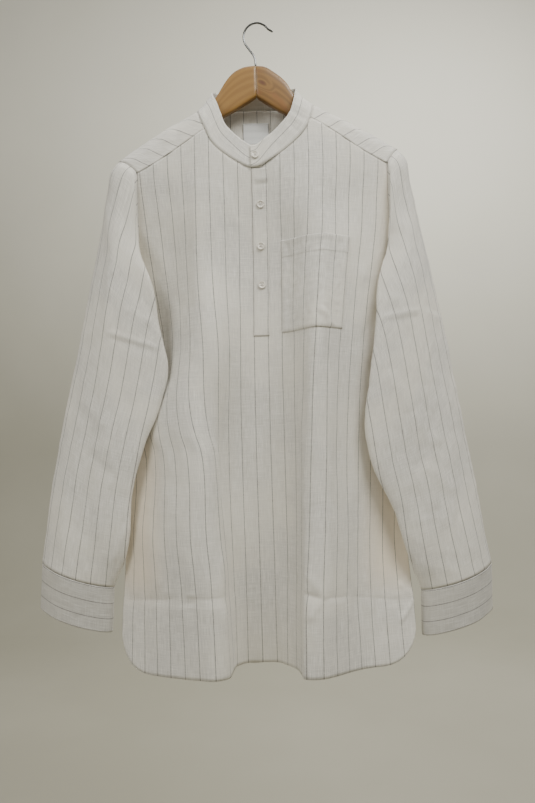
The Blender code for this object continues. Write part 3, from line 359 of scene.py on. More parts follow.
def yoke_lines(front, back):
    """Lines from the neck to the outer edge, in order from left front to right."""
    lines = []
    for sign in (-1, 1):
        seam = np.array(FRONT_YOKE[sign])[::-1] + (0.0, 2 * SEAM)
        l0 = along(front.at(seam[:, 0], seam[:, 1]), 9)
        side = np.array(NECK_SIDE[sign])
        tip = np.array(TIP[sign])
        l2 = along([side, side * 0.5 + tip * 0.5 + (0, 0, 0.0035), tip], 9)
        l1 = 0.5 * (l0 + l2) + np.outer(np.linspace(1, 0.8, 9), (0.0030 * sign, -0.0060, 0.0060))
        s_back = back.at(np.array([sign * BACK_END]), np.array([BACK_ARM[sign][-1][1] + 2 * SEAM]))[0]
        neck_b = side + np.array((-0.016 * sign, 0.0225, 0.0085))
        l4 = along([neck_b, 0.5 * (neck_b + s_back) + (0, 0.001, 0.002), s_back], 9)
        l3 = 0.5 * (l2 + l4) + np.outer(np.linspace(0.8, 1, 9), (0.0025 * sign, 0.0050, 0.0045))
        group = [l0, l1, l2, l3, l4]
        for share, neck_x, neck_z in ((0.66, 0.052, 0.0112), (0.33, 0.025, 0.0128)):
            a = sign * BACK_END * share
            z = np.interp(a, [p[0] for p in BACK_YOKE], [p[1] for p in BACK_YOKE]) + 2 * SEAM
            low = back.at(np.array([a]), np.array([z]))[0]
            top = np.array((-0.0098 + sign * neck_x, 0.0245, -0.1377 + neck_z))
            group.append(along([top, 0.5 * (top + low) + (0, 0.001, 0), low], 9))
        lines.append(group)
    z0 = -0.2260 + 2 * SEAM
    low = back.at(np.array([0.0]), np.array([z0]))[0]
    top = np.array((-0.0098, 0.0250, -0.1243))
    middle = along([top, 0.5 * (top + low) + (0, 0.001, 0), low], 9)
    return np.array(lines[0] + [middle] + lines[1][::-1])


YOKE_BACK = 18          # steps along the back seam, where the shoulder ends are read


def yoke_marks(lines, arm, across):
    """Positions of the yoke's columns, counted in lines."""
    outer = lines[:, -1]
    inner = lines[:, 4]
    gap = 0.6 * np.linalg.norm(np.diff(outer, axis=0), axis=1)
    gap = gap + 0.4 * np.linalg.norm(np.diff(inner, axis=0), axis=1)
    run = summed(gap)
    left = np.interp(np.linspace(0, run[4], arm + 1), run[:5], np.arange(5.0))
    right = np.interp(np.linspace(run[10], run[14], arm + 1), run[10:15], np.arange(10.0, 15.0))
    a = along(BACK_YOKE, across + 1)[:, 0]
    middle = 4.0 + (a + BACK_END) / (BACK_END / 3)
    return np.concatenate([left, middle[1:-1], right])


def yoke_grid(front, back, rows, arm, across):
    """rows x columns points from the neck edge (row 0) to the outer edge."""
    lines = yoke_lines(front, back)
    marks = yoke_marks(lines, arm, across)
    wide = smooth(np.arange(15.0), lines, marks)
    grid = smooth(np.arange(9.0), wide.transpose(1, 0, 2), np.linspace(0, 8, rows + 1))
    seam = along(BACK_YOKE, across + 1)
    low = back.at(seam[:, 0], seam[:, 1] + SEAM)
    share = (np.linspace(0, 1, rows + 1) ** 2)[:, None, None]
    cols = np.arange(arm, arm + across + 1)
    grid[:, cols] += share * (low - grid[-1, cols])[None]
    return grid


def yoke_end(front, back, sign, n):
    """The yoke's outer edge at one shoulder, from the front seam to the back seam."""
    lines = yoke_lines(front, back)
    marks = yoke_marks(lines, n, YOKE_BACK)
    marks = marks[:n + 1] if sign < 0 else marks[-n - 1:][::-1]
    return smooth(np.arange(15.0), lines[:, -1], marks)


# Sleeves
# Rings from below the shoulder to the cuff.  Each gives the outer fold, two
# points of the front layer, the inner fold, the underarm line and two points
# of the back layer.
RINGS = {
    -1: [
        [(-0.2325, 0.001, -0.2580), (-0.2185, -0.024, -0.3050), (-0.1930, -0.029, -0.3500),
         (-0.1690, -0.025, -0.3980), (-0.2435, 0.007, -0.4620), (-0.2270, 0.017, -0.3950),
         (-0.2165, 0.018, -0.3150)],
        [(-0.2460, 0.000, -0.3350), (-0.2220, -0.031, -0.3800), (-0.1880, -0.036, -0.4250),
         (-0.1555, -0.029, -0.4700), (-0.2440, -0.001, -0.4950), (-0.2470, 0.009, -0.4420),
         (-0.2410, 0.012, -0.3850)],
        [(-0.2625, 0.000, -0.4150), (-0.2350, -0.031, -0.4500), (-0.1920, -0.038, -0.4920),
         (-0.1435, -0.030, -0.5300), (-0.2300, -0.010, -0.5420), (-0.2530, 0.003, -0.5020),
         (-0.2570, 0.008, -0.4550)],
        [(-0.2780, 0.000, -0.4950), (-0.2500, -0.028, -0.5250), (-0.2050, -0.038, -0.5600),
         (-0.1560, -0.033, -0.5850), (-0.2100, -0.018, -0.5920), (-0.2410, -0.006, -0.5680),
         (-0.2640, 0.004, -0.5320)],
        [(-0.2940, 0.000, -0.5700), (-0.2680, -0.025, -0.5950), (-0.2220, -0.039, -0.6250),
         (-0.1780, -0.038, -0.6400), (-0.2120, -0.024, -0.6420), (-0.2450, -0.009, -0.6220),
         (-0.2770, 0.003, -0.5950)],
        [(-0.3090, 0.000, -0.6450), (-0.2850, -0.025, -0.6650), (-0.2420, -0.038, -0.6900),
         (-0.1950, -0.040, -0.7050), (-0.2220, -0.025, -0.7000), (-0.2550, -0.009, -0.6880),
         (-0.2920, 0.002, -0.6650)],
        [(-0.3205, -0.002, -0.7200), (-0.2980, -0.027, -0.7370), (-0.2550, -0.040, -0.7580),
         (-0.2000, -0.041, -0.7700), (-0.2280, -0.026, -0.7680), (-0.2620, -0.008, -0.7570),
         (-0.3020, 0.001, -0.7370)],
        [(-0.3303, -0.004, -0.8021), (-0.3030, -0.033, -0.8125), (-0.2580, -0.038, -0.8270),
         (-0.2248, -0.026, -0.8345), (-0.2400, -0.013, -0.8300), (-0.2660, -0.004, -0.8220),
         (-0.3040, 0.003, -0.8110)],
    ],
    1: [
        [(0.2205, 0.001, -0.2560), (0.2090, -0.024, -0.3030), (0.1900, -0.030, -0.3500),
         (0.1660, -0.030, -0.4050), (0.2275, -0.010, -0.4620), (0.2165, 0.010, -0.3950),
         (0.2085, 0.016, -0.3150)],
        [(0.2345, 0.000, -0.3350), (0.2140, -0.033, -0.3800), (0.1850, -0.042, -0.4300),
         (0.1545, -0.040, -0.4800), (0.2285, -0.018, -0.4980), (0.2335, 0.000, -0.4450),
         (0.2285, 0.010, -0.3880)],
        [(0.2505, 0.000, -0.4200), (0.2240, -0.034, -0.4600), (0.1850, -0.047, -0.5100),
         (0.1425, -0.045, -0.5550), (0.2140, -0.024, -0.5620), (0.2370, -0.007, -0.5200),
         (0.2440, 0.005, -0.4700)],
        [(0.2660, 0.000, -0.5100), (0.2360, -0.032, -0.5450), (0.1880, -0.048, -0.5900),
         (0.1335, -0.047, -0.6200), (0.1900, -0.031, -0.6280), (0.2230, -0.015, -0.5980),
         (0.2500, 0.001, -0.5580)],
        [(0.2780, 0.000, -0.5900), (0.2500, -0.030, -0.6200), (0.2000, -0.046, -0.6550),
         (0.1430, -0.048, -0.6820), (0.1840, -0.035, -0.6830), (0.2160, -0.020, -0.6600),
         (0.2560, -0.001, -0.6200)],
        [(0.2880, 0.000, -0.6600), (0.2620, -0.030, -0.6880), (0.2180, -0.045, -0.7150),
         (0.1680, -0.047, -0.7350), (0.2000, -0.034, -0.7350), (0.2280, -0.019, -0.7150),
         (0.2660, -0.001, -0.6850)],
        [(0.2985, -0.002, -0.7350), (0.2750, -0.031, -0.7570), (0.2350, -0.045, -0.7820),
         (0.1840, -0.044, -0.7950), (0.2100, -0.031, -0.7950), (0.2380, -0.013, -0.7820),
         (0.2780, -0.001, -0.7570)],
        [(0.3104, -0.004, -0.8189), (0.2840, -0.036, -0.8290), (0.2400, -0.043, -0.8420),
         (0.2052, -0.031, -0.8483), (0.2180, -0.018, -0.8430), (0.2460, -0.006, -0.8370),
         (0.2850, 0.001, -0.8260)],
    ],
}
CUFF_DROP = {-1: (-0.0030, 0.001, -0.0590), 1: (-0.0014, 0.000, -0.0583)}


def moved_in(path, amount, sign):
    """A cut line in flat coordinates moved into the armhole by amount."""
    t = unit(np.gradient(path, axis=0))
    away = np.stack([t[:, 1], -t[:, 0]], axis=1)
    away *= np.sign(away[:, :1] * sign + away[:, 1:] + 1e-9)
    return path + away * amount


CAP_STEPS = 16          # steps of the yoke's end round the head of the sleeve
ARM_HOLE_STEPS = 24     # steps down each armhole
UNDER_FROM = 14         # step of the front armhole where the run under the arm begins


def arm_edges(front, back, sign):
    """The armhole seam in three runs: front, under the arm, and back."""
    share = (np.arange(CAP_STEPS + 1) / CAP_STEPS)[:, None]
    cap = (yoke_end(front, back, sign, CAP_STEPS) + np.array((sign * 0.0018, 0.0, -0.0008))
           + share * (0.0, 0.0, -0.0008))
    tip = CAP_STEPS // 2
    fa = moved_in(along(FRONT_ARM[sign][::-1], ARM_HOLE_STEPS + 1), WALL + 0.0011, sign)
    fpts = front.at(fa[:, 0], fa[:, 1])
    ba = moved_in(along(BACK_ARM[sign], ARM_HOLE_STEPS + 1), 0.0016, sign)
    bpts = back.at(ba[:, 0], ba[:, 1])
    corner = fpts[-2] + (sign * 0.0005, -0.0018, 0.0)
    run_front = list(cap[tip:0:-1]) + list(fpts[1:UNDER_FROM + 1])
    run_under = list(fpts[UNDER_FROM:-2]) + [corner]
    run_back = [corner] + list(bpts[2:-1]) + list(cap[-2:tip - 1:-1])
    return run_front, run_under, run_back


def sleeve_rings(front, back, sign, n_front, n_under, n_back):
    """All rings of one sleeve with the same number of points each."""
    sides = (n_front, n_under, n_back)
    seam = np.concatenate([along(run, n + 1)[:-1]
                           for run, n in zip(arm_edges(front, back, sign), sides)])
    count = len(seam)
    place = np.arange(count)
    ahead = np.where(place <= n_front, np.sin(np.pi * np.clip(place / n_front, 0, 1) * 0.9), 0)
    under = np.exp(-((place - n_front - n_under * 0.35) / (n_under * 0.55)) ** 2)
    corner = np.exp(-((place - n_front - n_under) / (0.045 * count)) ** 2)
    behind = np.where(place > n_front + n_under,
                      np.sin(np.pi * np.clip((place - n_front - n_under) / n_back, 0, 1)), 0)
    clear = np.zeros((count, 3))
    clear[:, 0] = sign * 0.0006
    clear[:, 1] = -0.0006 * ahead - 0.0010 * under
    puff = np.zeros((count, 3))
    top = np.exp(-(np.minimum(place, count - place) / (0.12 * count)) ** 2)
    puff[:, 0] = sign * (0.0045 * ahead + 0.0080 * behind + 0.0060 * top + 0.0050 * corner)
    puff[:, 1] = -0.0060 * ahead - 0.0095 * under + 0.0005 * behind
    puff[:, 2] = -0.0030 * (1 - under) - 0.0010 * under - 0.0035 * top - 0.0025 * corner
    rings = [seam + clear, seam + puff]
    for ring in RINGS[sign]:
        loop = np.array(ring)
        closed = np.concatenate([loop[-2:], loop, loop[:2]])
        run = lengths(closed)
        # the outer fold, the inner fold, the underarm line and the outer fold again
        marks = run[[2, 5, 6, 9]]
        pts = []
        for k, n in enumerate(sides):
            fine = smooth(run, closed, np.linspace(marks[k], marks[k + 1], 60))
            pts.append(along(fine, n + 1, bend=False)[:-1])
        loop = np.concatenate(pts)
        # the layers part a little beside the inner fold
        size = np.linalg.norm(np.diff(loop[n_front - 1:n_front + 2], axis=0), axis=1).mean()
        far = (np.arange(len(loop)) - n_front) * size / 0.012
        far = far * np.exp(1 - np.abs(far)) * (np.abs(far) < 8)
        loop[:, 1] += 0.0026 * far
        rings.append(loop)
    return np.array(rings)


def sleeve_grid(front, back, sign, n_front, n_under, n_back, rows):
    rings = sleeve_rings(front, back, sign, n_front, n_under, n_back)
    gap = np.linalg.norm(np.diff(rings, axis=0), axis=2).mean(axis=1)
    run = summed(gap)
    q = np.concatenate([[0.0, run[1]], np.linspace(run[1], run[-1], rows)[1:]])
    return smooth(run, rings, q)


# Grids
def grid_normals(p):
    return unit(np.cross(np.gradient(p, axis=1), np.gradient(p, axis=0)))


def face_normals(p):
    """Normals of a grid that closes round its columns, from the cells round each point."""
    q = np.concatenate([p, p[:, :1]], axis=1)
    cell = np.cross(q[1:, 1:] - q[:-1, :-1], q[1:, :-1] - q[:-1, 1:])
    cell /= np.maximum(np.linalg.norm(cell, axis=2, keepdims=True), 1e-12) ** 0.5
    n = np.zeros(p.shape)
    for i in (0, 1):
        for j in (0, 1):
            n[i:i + len(cell)] += np.roll(cell, j, axis=1)
    return unit(n)


def neck_loop(front, back, n):
    """The neck seam: from the centre front round the left, the back and the right."""
    f = np.array(NECK_FRONT)
    pts = front.at(f[:, 0], f[:, 1])
    middle = 5              # the knot of NECK_FRONT where the collar's ends lap
    lines = yoke_lines(front, back)[:, 0]
    return along(list(pts[middle:0:-1]) + list(lines) + list(pts[-2:middle - 1:-1]), n)


def collar_grid(front, back, n, rows):
    """Points and normals of the band in rows from the neck seam to the top."""
    base = neck_loop(front, back, 161)
    from_middle = base[:, 0] + 0.009
    across = np.clip(np.abs(from_middle) / 0.088, 0, 1)
    back_part = step((base[:, 1] + 0.004) / 0.022)
    front_part = 1 - step((base[:, 1] + 0.026) / 0.020)
    dx = -np.sign(from_middle) * (0.0275 * across) * (1 - 0.35 * back_part)
    dy = 0.0035 * front_part - 0.0035 * back_part
    up = np.sqrt(np.maximum(COLLAR_HEIGHT ** 2 - dx ** 2 - dy ** 2, 1e-6))
    out = []
    for t in np.linspace(0, 1, rows + 1):
        raised = (COLLAR_SEAM + t * (COLLAR_HEIGHT - COLLAR_SEAM)) / COLLAR_HEIGHT
        out.append(base + np.stack([dx * raised, dy * t, up * raised], axis=1))
    grid = eased(np.array(out).swapaxes(0, 1), 6).swapaxes(0, 1)
    normals = grid_normals(grid)
    run = lengths(grid[0])
    q = np.linspace(0.0, run[-1], n + 1)
    return (np.array([sampled(q, run, row) for row in grid]),
            np.array([sampled(q, run, row) for row in normals]))


# The hanger's edges in (x, z)
HANGER_JOINT = -0.0062
HANGER_TOP = {
    -1: [(HANGER_JOINT - 0.00015, -0.0678), (-0.0224, -0.0694), (-0.0378, -0.0762), (-0.0487, -0.0868),
         (-0.0582, -0.1010), (-0.0672, -0.1160), (-0.0810, -0.1300), (-0.0965, -0.1418),
         (-0.1250, -0.1572), (-0.1450, -0.1680), (-0.1650, -0.1801), (-0.1850, -0.1934),
         (-0.2080, -0.2093)],
    1: [(HANGER_JOINT + 0.00015, -0.0678), (0.0080, -0.0700), (0.0200, -0.0776), (0.0319, -0.0872),
        (0.0408, -0.0975), (0.0475, -0.1100), (0.0585, -0.1262), (0.0769, -0.1388),
        (0.1000, -0.1490), (0.1200, -0.1584), (0.1400, -0.1686), (0.1600, -0.1804),
        (0.1800, -0.1933), (0.1950, -0.2031)],
}
HANGER_LOW = {
    -1: [(HANGER_JOINT - 0.00015, -0.1168), (-0.0237, -0.1282), (-0.0390, -0.1371), (-0.0588, -0.1480),
         (-0.0860, -0.1680), (-0.1180, -0.1865), (-0.1600, -0.2090), (-0.2010, -0.2330)],
    1: [(HANGER_JOINT + 0.00015, -0.1168), (0.0065, -0.1259), (0.0213, -0.1357), (0.0376, -0.1455),
        (0.0660, -0.1640), (0.1020, -0.1815), (0.1460, -0.2030), (0.1880, -0.2255)],
}

HOOK_PATH = [(-0.0062, 0, -0.0659), (-0.0064, 0, -0.0600), (-0.0082, 0, -0.0520),
             (-0.0150, 0, -0.0410), (-0.0218, 0, -0.0300), (-0.0235, 0, -0.0205),
             (-0.0205, 0, -0.0095), (-0.0125, 0, -0.0010), (-0.0010, 0, 0.0016),
             (0.0085, 0, -0.0022), (0.0150, 0, -0.0090), (0.0205, 0, -0.0126)]


# Creases. A row gives both ends, the width and the height, all in millimetres.
def crease(u, v, row, fold=False):
    """Height of one crease over coordinates (u, v) of the cloth, faded out at both ends."""
    u0, v0, u1, v1, wide, high = np.array(row) / 1000
    du, dv = u1 - u0, v1 - v0
    long = math.hypot(du, dv)
    t = ((u - u0) * du + (v - v0) * dv) / long ** 2
    d = ((u - u0) * dv - (v - v0) * du) / long
    fade = step(t / 0.22) * step((1 - t) / 0.22)
    form = np.exp(-np.abs(d) / wide) if fold else np.exp(-(d / wide) ** 2)
    return high * fade * form


def creases(u, v, ridges, folds=()):
    """Summed height of round ridges and of sharper pressed folds."""
    return sum(crease(u, v, row, True) for row in folds) + sum(crease(u, v, row) for row in ridges)


def bump(u, v, spot, wide, tall, high):
    return high * np.exp(-((u - spot[0]) / wide) ** 2 - ((v - spot[1]) / tall) ** 2)


def rumple(u, v, seed, size, high, stretch):
    """Soft unevenness of washed cloth: a few long waves in seeded directions."""
    rng = np.random.default_rng(seed)
    total = np.zeros(np.shape(u))
    for k in range(14):
        turn = rng.normal(0.0, 0.55)
        wave = 2 * math.pi / (size * rng.uniform(0.5, 2.2))
        phase = rng.uniform(0, 2 * math.pi)
        bend = rng.uniform(0, 2 * math.pi)
        along_u = u * math.cos(turn) + v / stretch * math.sin(turn)
        along_v = v / stretch * math.cos(turn) - u * math.sin(turn)
        sway = 0.35 * size * np.sin(along_v * wave * 0.6 + bend)
        total = total + np.sin((along_u + sway) * wave + phase) / (1 + 0.12 * k)
    return high * total / 3.2


# Meshes
def link_object(name, data):
    obj = bpy.data.objects.new(name, data)
    bpy.context.scene.collection.objects.link(obj)
    return obj


def link_mesh(name, verts, faces, mat):
    mesh = bpy.data.meshes.new(name)
    mesh.from_pydata(np.asarray(verts).tolist(), [], faces)
    mesh.shade_smooth()
    mesh.materials.append(mat)
    return link_object(name, mesh)


def set_threads(obj, values):
    """Store the thread coordinates that the stripes, the weave or the grain follow."""
    thread = obj.data.attributes.new("thread", "FLOAT_VECTOR", "POINT")
    thread.data.foreach_set("vector", np.asarray(values, np.float32).ravel())


def tube_faces(rings, sides, first=0):
    """Quads between rings of points, then a cap at each end."""
    faces = []
    for i in range(rings - 1):
        for k in range(sides):
            a, b = first + i * sides + k, first + i * sides + (k + 1) % sides
            faces.append((a, b, b + sides, a + sides))
    faces.append(tuple(first + k for k in reversed(range(sides))))
    faces.append(tuple(first + (rings - 1) * sides + k for k in range(sides)))
    return faces


def flipped(faces):
    return [face[::-1] for face in faces]


def cloth_mesh(name, p, out, inner, outer, s, t, mat):
    """A closed thin shell: the grid p moved along out by inner and by outer.

    s and t are the thread coordinates across and along the cloth.
    """
    rows, cols = p.shape[:2]
    count = rows * cols
    verts = np.concatenate([(p + out * inner).reshape(-1, 3), (p + out * outer).reshape(-1, 3)])
    place = np.arange(count).reshape(rows, cols)
    a, b = place[:-1, :-1].ravel(), place[:-1, 1:].ravel()
    c, d = place[1:, 1:].ravel(), place[1:, :-1].ravel()
    walls = np.concatenate([np.stack([d, c, b, a], axis=1), np.stack([a, b, c, d], axis=1) + count])
    rim = np.concatenate([place[0], place[1:, -1], place[-1, -2::-1], place[-2:0:-1, 0]])
    beside = np.roll(rim, -1)
    faces = np.concatenate([walls, np.stack([rim, beside, beside + count, rim + count], axis=1)])
    du = p[:, 1] - p[:, 0]
    turn = np.einsum("ij,ij->i", np.cross(du[:-1], p[1:, 0] - p[:-1, 0]), out[:-1, 0]).sum()
    if turn < 0:
        faces = faces[:, ::-1]
    obj = link_mesh(name, verts, faces.tolist(), mat)
    obj.data.polygons.foreach_set("use_smooth", np.arange(len(faces)) < len(walls))
    flat = np.stack(np.broadcast_arrays(s, t, np.zeros((rows, cols))), axis=-1).reshape(-1, 3)
    set_threads(obj, np.concatenate([flat, flat]))
    obj.data.validate()
    return obj


def cut_area(cut):
    """Area of a cut panel in flat coordinates: rows x columns x 2."""
    edge = np.concatenate([cut[0], cut[1:, -1], cut[-1, -2::-1], cut[-2:0:-1, 0]])
    x, z = edge[:, 0], edge[:, 1]
    return 0.5 * abs(float(np.sum(x * np.roll(z, -1) - z * np.roll(x, -1))))


def grid_line(p, n, r, c):
    """Points and normals of a grid along fractional rows r and columns c."""
    r = np.clip(r, 0, p.shape[0] - 1.0001)
    c = np.clip(c, 0, p.shape[1] - 1.0001)
    i, j = r.astype(int), c.astype(int)
    u, v = (r - i)[:, None], (c - j)[:, None]

    def read(g):
        return ((g[i, j] * (1 - v) + g[i, j + 1] * v) * (1 - u)
                + (g[i + 1, j] * (1 - v) + g[i + 1, j + 1] * v) * u)
    return read(p), read(n)


def outward(p, guide):
    """Grid normals turned to the side that the guide vectors point to."""
    n = grid_normals(p)
    return n * np.sign(np.einsum("ijk,ijk->ij", n, guide) + 1e-12)[..., None]


STITCH_LONG = 0.0024
STITCH_GAP = 0.0010
STITCH_THICK = 0.00017
# Each stitch has four rings: place along it, size and lift off the cloth
STITCH_RINGS = ((-0.5, 0.45, -0.6), (-0.28, 1.0, 1.0), (0.28, 1.0, 1.0), (0.5, 0.45, -0.6))
STITCH_SECTION = ((-1, -0.2), (-0.6, 0.8), (0.6, 0.8), (1, -0.2))


class Seams:
    """Stitches gathered into one mesh: short rounded threads on the cloth."""

    def __init__(self):
        self.verts = []
        self.faces = []

    def run(self, points, normals):
        """Stitches along a line of points that lies on the cloth."""
        far = lengths(points)
        count = max(1, int(far[-1] / (STITCH_LONG + STITCH_GAP)))
        places = np.array([row[0] for row in STITCH_RINGS]) * STITCH_LONG
        for k in range(count):
            q = (k + 0.5) * far[-1] / count + places
            spots = sampled(q, far, points)
            n = unit(sampled(q[1:2], far, normals)[0])
            side = np.cross(unit(spots[-1] - spots[0]), n)
            self.faces += flipped(tube_faces(4, 4, len(self.verts)))
            for spot, (_, size, lift) in zip(spots, STITCH_RINGS):
                for y, h in STITCH_SECTION:
                    shift = side * y * size + n * (h * size + lift * 0.5)
                    self.verts.append(spot + STITCH_THICK * shift)

    def on_grid(self, p, n, rows, columns, lift, inside=False):
        """Stitches on a grid, along fractional rows and columns; one of them may be fixed."""
        rows, columns = np.broadcast_arrays(np.asarray(rows, float), np.asarray(columns, float))
        path, turn = grid_line(p, n, rows, columns)
        self.run(path + turn * lift, -turn if inside else turn)

    def on_face(self, face, a, z, out=0.0):
        """Stitches on a finished panel, along its flat coordinates; one may be fixed."""
        line = np.stack(np.broadcast_arrays(np.asarray(a, float), z), axis=1)
        path = along(line, max(8, 4 * len(line)), bend=False)
        self.run(face.at(path[:, 0], path[:, 1], out), face.normal(path[:, 0], path[:, 1]))


def finish_hard(obj, node):
    """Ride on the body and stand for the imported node."""
    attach(obj, "root")
    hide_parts(node)


def finish_cloth(obj, node, seams, seams_name):
    sewing = link_mesh(seams_name, seams.verts, seams.faces, thread_mat)
    finish_hard(obj, node)
    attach(sewing, "root")


# Buttons
HOLE_AT = 0.0013        # each hole's distance from both middle lines
HOLE_R = 0.00085
HOLE_DEEP = 0.0011
BUTTON_FLOOR = 0.63     # height of the sunk middle, as a share of the thickness
# The turned profile in shares of the radius and of the thickness
BUTTON_PROFILE = [(0.72, 0.0), (0.86, 0.0), (0.96, 0.16), (1, 0.40), (1, 0.66), (0.975, 0.85),
                  (0.92, 0.97), (0.86, 1), (0.80, 0.96), (0.74, 0.82), (0.68, 0.72), (0.60, 0.68),
                  (0.44, 0.64)] + [(q, BUTTON_FLOOR) for q in (0.36, 0.30, 0.22, 0.13, 0.05)]


def make_button(name, centre, axis, node):
    """A turned four-hole button with a raised rim and a crossed thread."""
    u = unit(np.cross(axis, (0.0, 0.0, 1.0)))
    v = np.cross(axis, u)
    sides = 64
    verts = []
    for q, h in BUTTON_PROFILE:
        for k in range(sides):
            w = 2 * math.pi * k / sides
            x, y = q * BUTTON_R * math.cos(w), q * BUTTON_R * math.sin(w)
            d = math.hypot(abs(x) - HOLE_AT, abs(y) - HOLE_AT) / HOLE_R
            sink = HOLE_DEEP * (1 - d ** 4) if h > 0.5 and d < 1 else 0.0
            verts.append(centre + axis * (h * BUTTON_T - sink) + u * x + v * y)
    finish_hard(link_mesh(name, verts, tube_faces(len(BUTTON_PROFILE), sides), button_mat),
                node)
    # the crossed thread through the holes, two strands each way
    verts, faces = [], []
    for way in (unit(u + v), unit(u - v)):
        side = np.cross(axis, way)
        for shift in (-0.00012, 0.00012):
            faces += tube_faces(9, 6, len(verts))
            for q in np.linspace(-1, 1, 9):
                h = BUTTON_T * BUTTON_FLOOR + 0.00034 * (1 - q ** 6) - 0.0004 * abs(q) ** 8
                middle = centre + way * (q * 0.0019) + side * shift + axis * h
                for k in range(6):
                    w = 2 * math.pi * k / 6
                    verts.append(middle + 0.00013 * (side * math.cos(w) + axis * math.sin(w)))
    cross = link_mesh(name + "_thread", verts, faces, thread_mat)
    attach(cross, "root")


# The hanger
WOOD_STEPS = 90
WOOD_SIDES = 40
TIP_STEPS = 12
TIP_LONG = 0.0068       # the rounded tip past the last station


def wood_arm(sign, name, mat):
    """One arm of the hanger: a bar with rounded edges that narrows to its tip."""
    top, low = along(HANGER_TOP[sign], WOOD_STEPS), along(HANGER_LOW[sign], WOOD_STEPS)
    middles = np.insert((top + low) / 2, 1, 0.0, axis=1)
    halves = np.insert((top - low) / 2, 1, 0.0, axis=1)
    way = unit(middles[-1] - middles[-3])
    w = math.pi / 2 * np.arange(1, TIP_STEPS + 1) / TIP_STEPS
    tip_size = np.maximum(np.cos(w), 0.05) ** 0.55
    middles = np.concatenate([middles, middles[-1] + np.outer(TIP_LONG * np.sin(w), way)])
    halves = np.concatenate([halves, halves[-1] * tip_size[:, None]])
    shares = np.concatenate([np.ones(WOOD_STEPS), tip_size])
    # a small bevel where the two arms meet
    halves[0] *= 0.965
    shares[0] = 0.93
    verts, flat = [], []
    for middle, half, share, far in zip(middles, halves, shares, lengths(middles)):
        for k in range(WOOD_SIDES):
            w = 2 * math.pi * k / WOOD_SIDES
            y = math.copysign(abs(math.sin(w)) ** 0.42, math.sin(w)) * WOOD_HALF
            h = math.copysign(abs(math.cos(w)) ** 0.525, math.cos(w))
            verts.append(middle + half * h + (0.0, y * max(share, 0.45), 0.0))
            flat.append((h * np.linalg.norm(half), far, y))
    faces = tube_faces(len(middles), WOOD_SIDES)
    obj = link_mesh(name, verts, faces if sign < 0 else flipped(faces), mat)
    set_threads(obj, flat)
    obj.data.polygons[len(faces) - 2].use_smooth = False
    return obj


def wire_hook(name, mat):
    """The bent wire, with a rounded free end."""
    path = along(HOOK_PATH, 150)
    tangents = unit(np.gradient(path, axis=0))
    stations = [(q, w, 1.0) for q, w in zip(path, tangents)]
    for k in range(1, 7):
        w = math.pi / 2 * k / 6.2
        stations.append((path[-1] + tangents[-1] * WIRE_R * 0.95 * math.sin(w), tangents[-1],
                         math.cos(w)))
    sides = 20
    verts = []
    for q, w, share in stations:
        other = unit(np.cross(w, (0.0, 1.0, 0.0)))
        across = np.cross(other, w)
        for k in range(sides):
            turn = 2 * math.pi * k / sides
            verts.append(q + WIRE_R * share * (other * math.cos(turn) + across * math.sin(turn)))
    return link_mesh(name, verts, flipped(tube_faces(len(stations), sides)), mat)


# Materials
class Graph:
    """A small helper for one procedural material."""

    def __init__(self, name):
        self.mat = bpy.data.materials.new(name)
        self.mat.use_nodes = True
        self.tree = self.mat.node_tree
        self.shader = self.tree.nodes["Principled BSDF"]

    def fill(self, socket, value):
        if isinstance(value, bpy.types.NodeSocket):
            self.tree.links.new(value, socket)
        else:
            socket.default_value = value

    def add(self, kind, links=(), **values):
        node = self.tree.nodes.new("ShaderNode" + kind)
        for key, value in values.items():
            setattr(node, key, value)
        for slot, value in links:
            self.fill(node.inputs[slot], value)
        return node

    def set(self, **values):
        for key, value in values.items():
            self.fill(self.shader.inputs[key.replace("_", " ")], value)

    def threads(self):
        """The thread coordinates of the cloth, or those of the grain of the wood."""
        thread = self.add("Attribute", attribute_name="thread")
        return self.add("SeparateXYZ", ((0, thread.outputs["Vector"]),)).outputs

    def math(self, kind, a, b=0.0):
        return self.add("Math", ((0, a), (1, b)), operation=kind).outputs[0]

    def plus(self, a, b):
        return self.math("ADD", a, b)

    def less(self, a, b):
        return self.math("SUBTRACT", a, b)

    def times(self, a, b):
        return self.math("MULTIPLY", a, b)

    def ramp(self, value, low, high, start=0.0, end=1.0):
        node = self.add("MapRange", ((0, value), (1, low), (2, high), (3, start), (4, end)),
                        interpolation_type="SMOOTHSTEP")
        return node.outputs[0]

    def vector(self, x, y, z=0.0):
        return self.add("CombineXYZ", ((0, x), (1, y), (2, z))).outputs[0]

    def noise(self, vector, scale, detail=3.0):
        node = self.add("TexNoise", (("Vector", vector), ("Scale", scale), ("Detail", detail),
                                     ("Roughness", 0.55)))
        return node.outputs[0]

    def grain(self, s, t, across, down, depth=0.0, detail=2.0):
        """Drawn-out noise, with so many grains a metre across and down the threads."""
        return self.noise(self.vector(self.times(s, across), self.times(t, down), depth), 1.0, detail)

    def object_noise(self, scale, detail=3.0):
        return self.noise(self.add("TexCoord").outputs["Object"], scale, detail)

    def blend(self, share, a, b, kind="MIX"):
        node = self.add("Mix", ((0, share), (6, a), (7, b)), data_type="RGBA", blend_type=kind)
        return node.outputs[2]

    def relief(self, height, strength, distance):
        node = self.add("Bump", (("Height", height), ("Strength", strength),
                                 ("Distance", distance)))
        self.tree.links.new(node.outputs[0], self.shader.inputs["Normal"])


def colour(r, g, b):
    """Linear colour from one given in display values of 0 to 255."""
    out = []
    for value in (r, g, b):
        v = value / 255
        out.append(v / 12.92 if v <= 0.04045 else ((v + 0.055) / 1.055) ** 2.4)
    return (*out, 1.0)


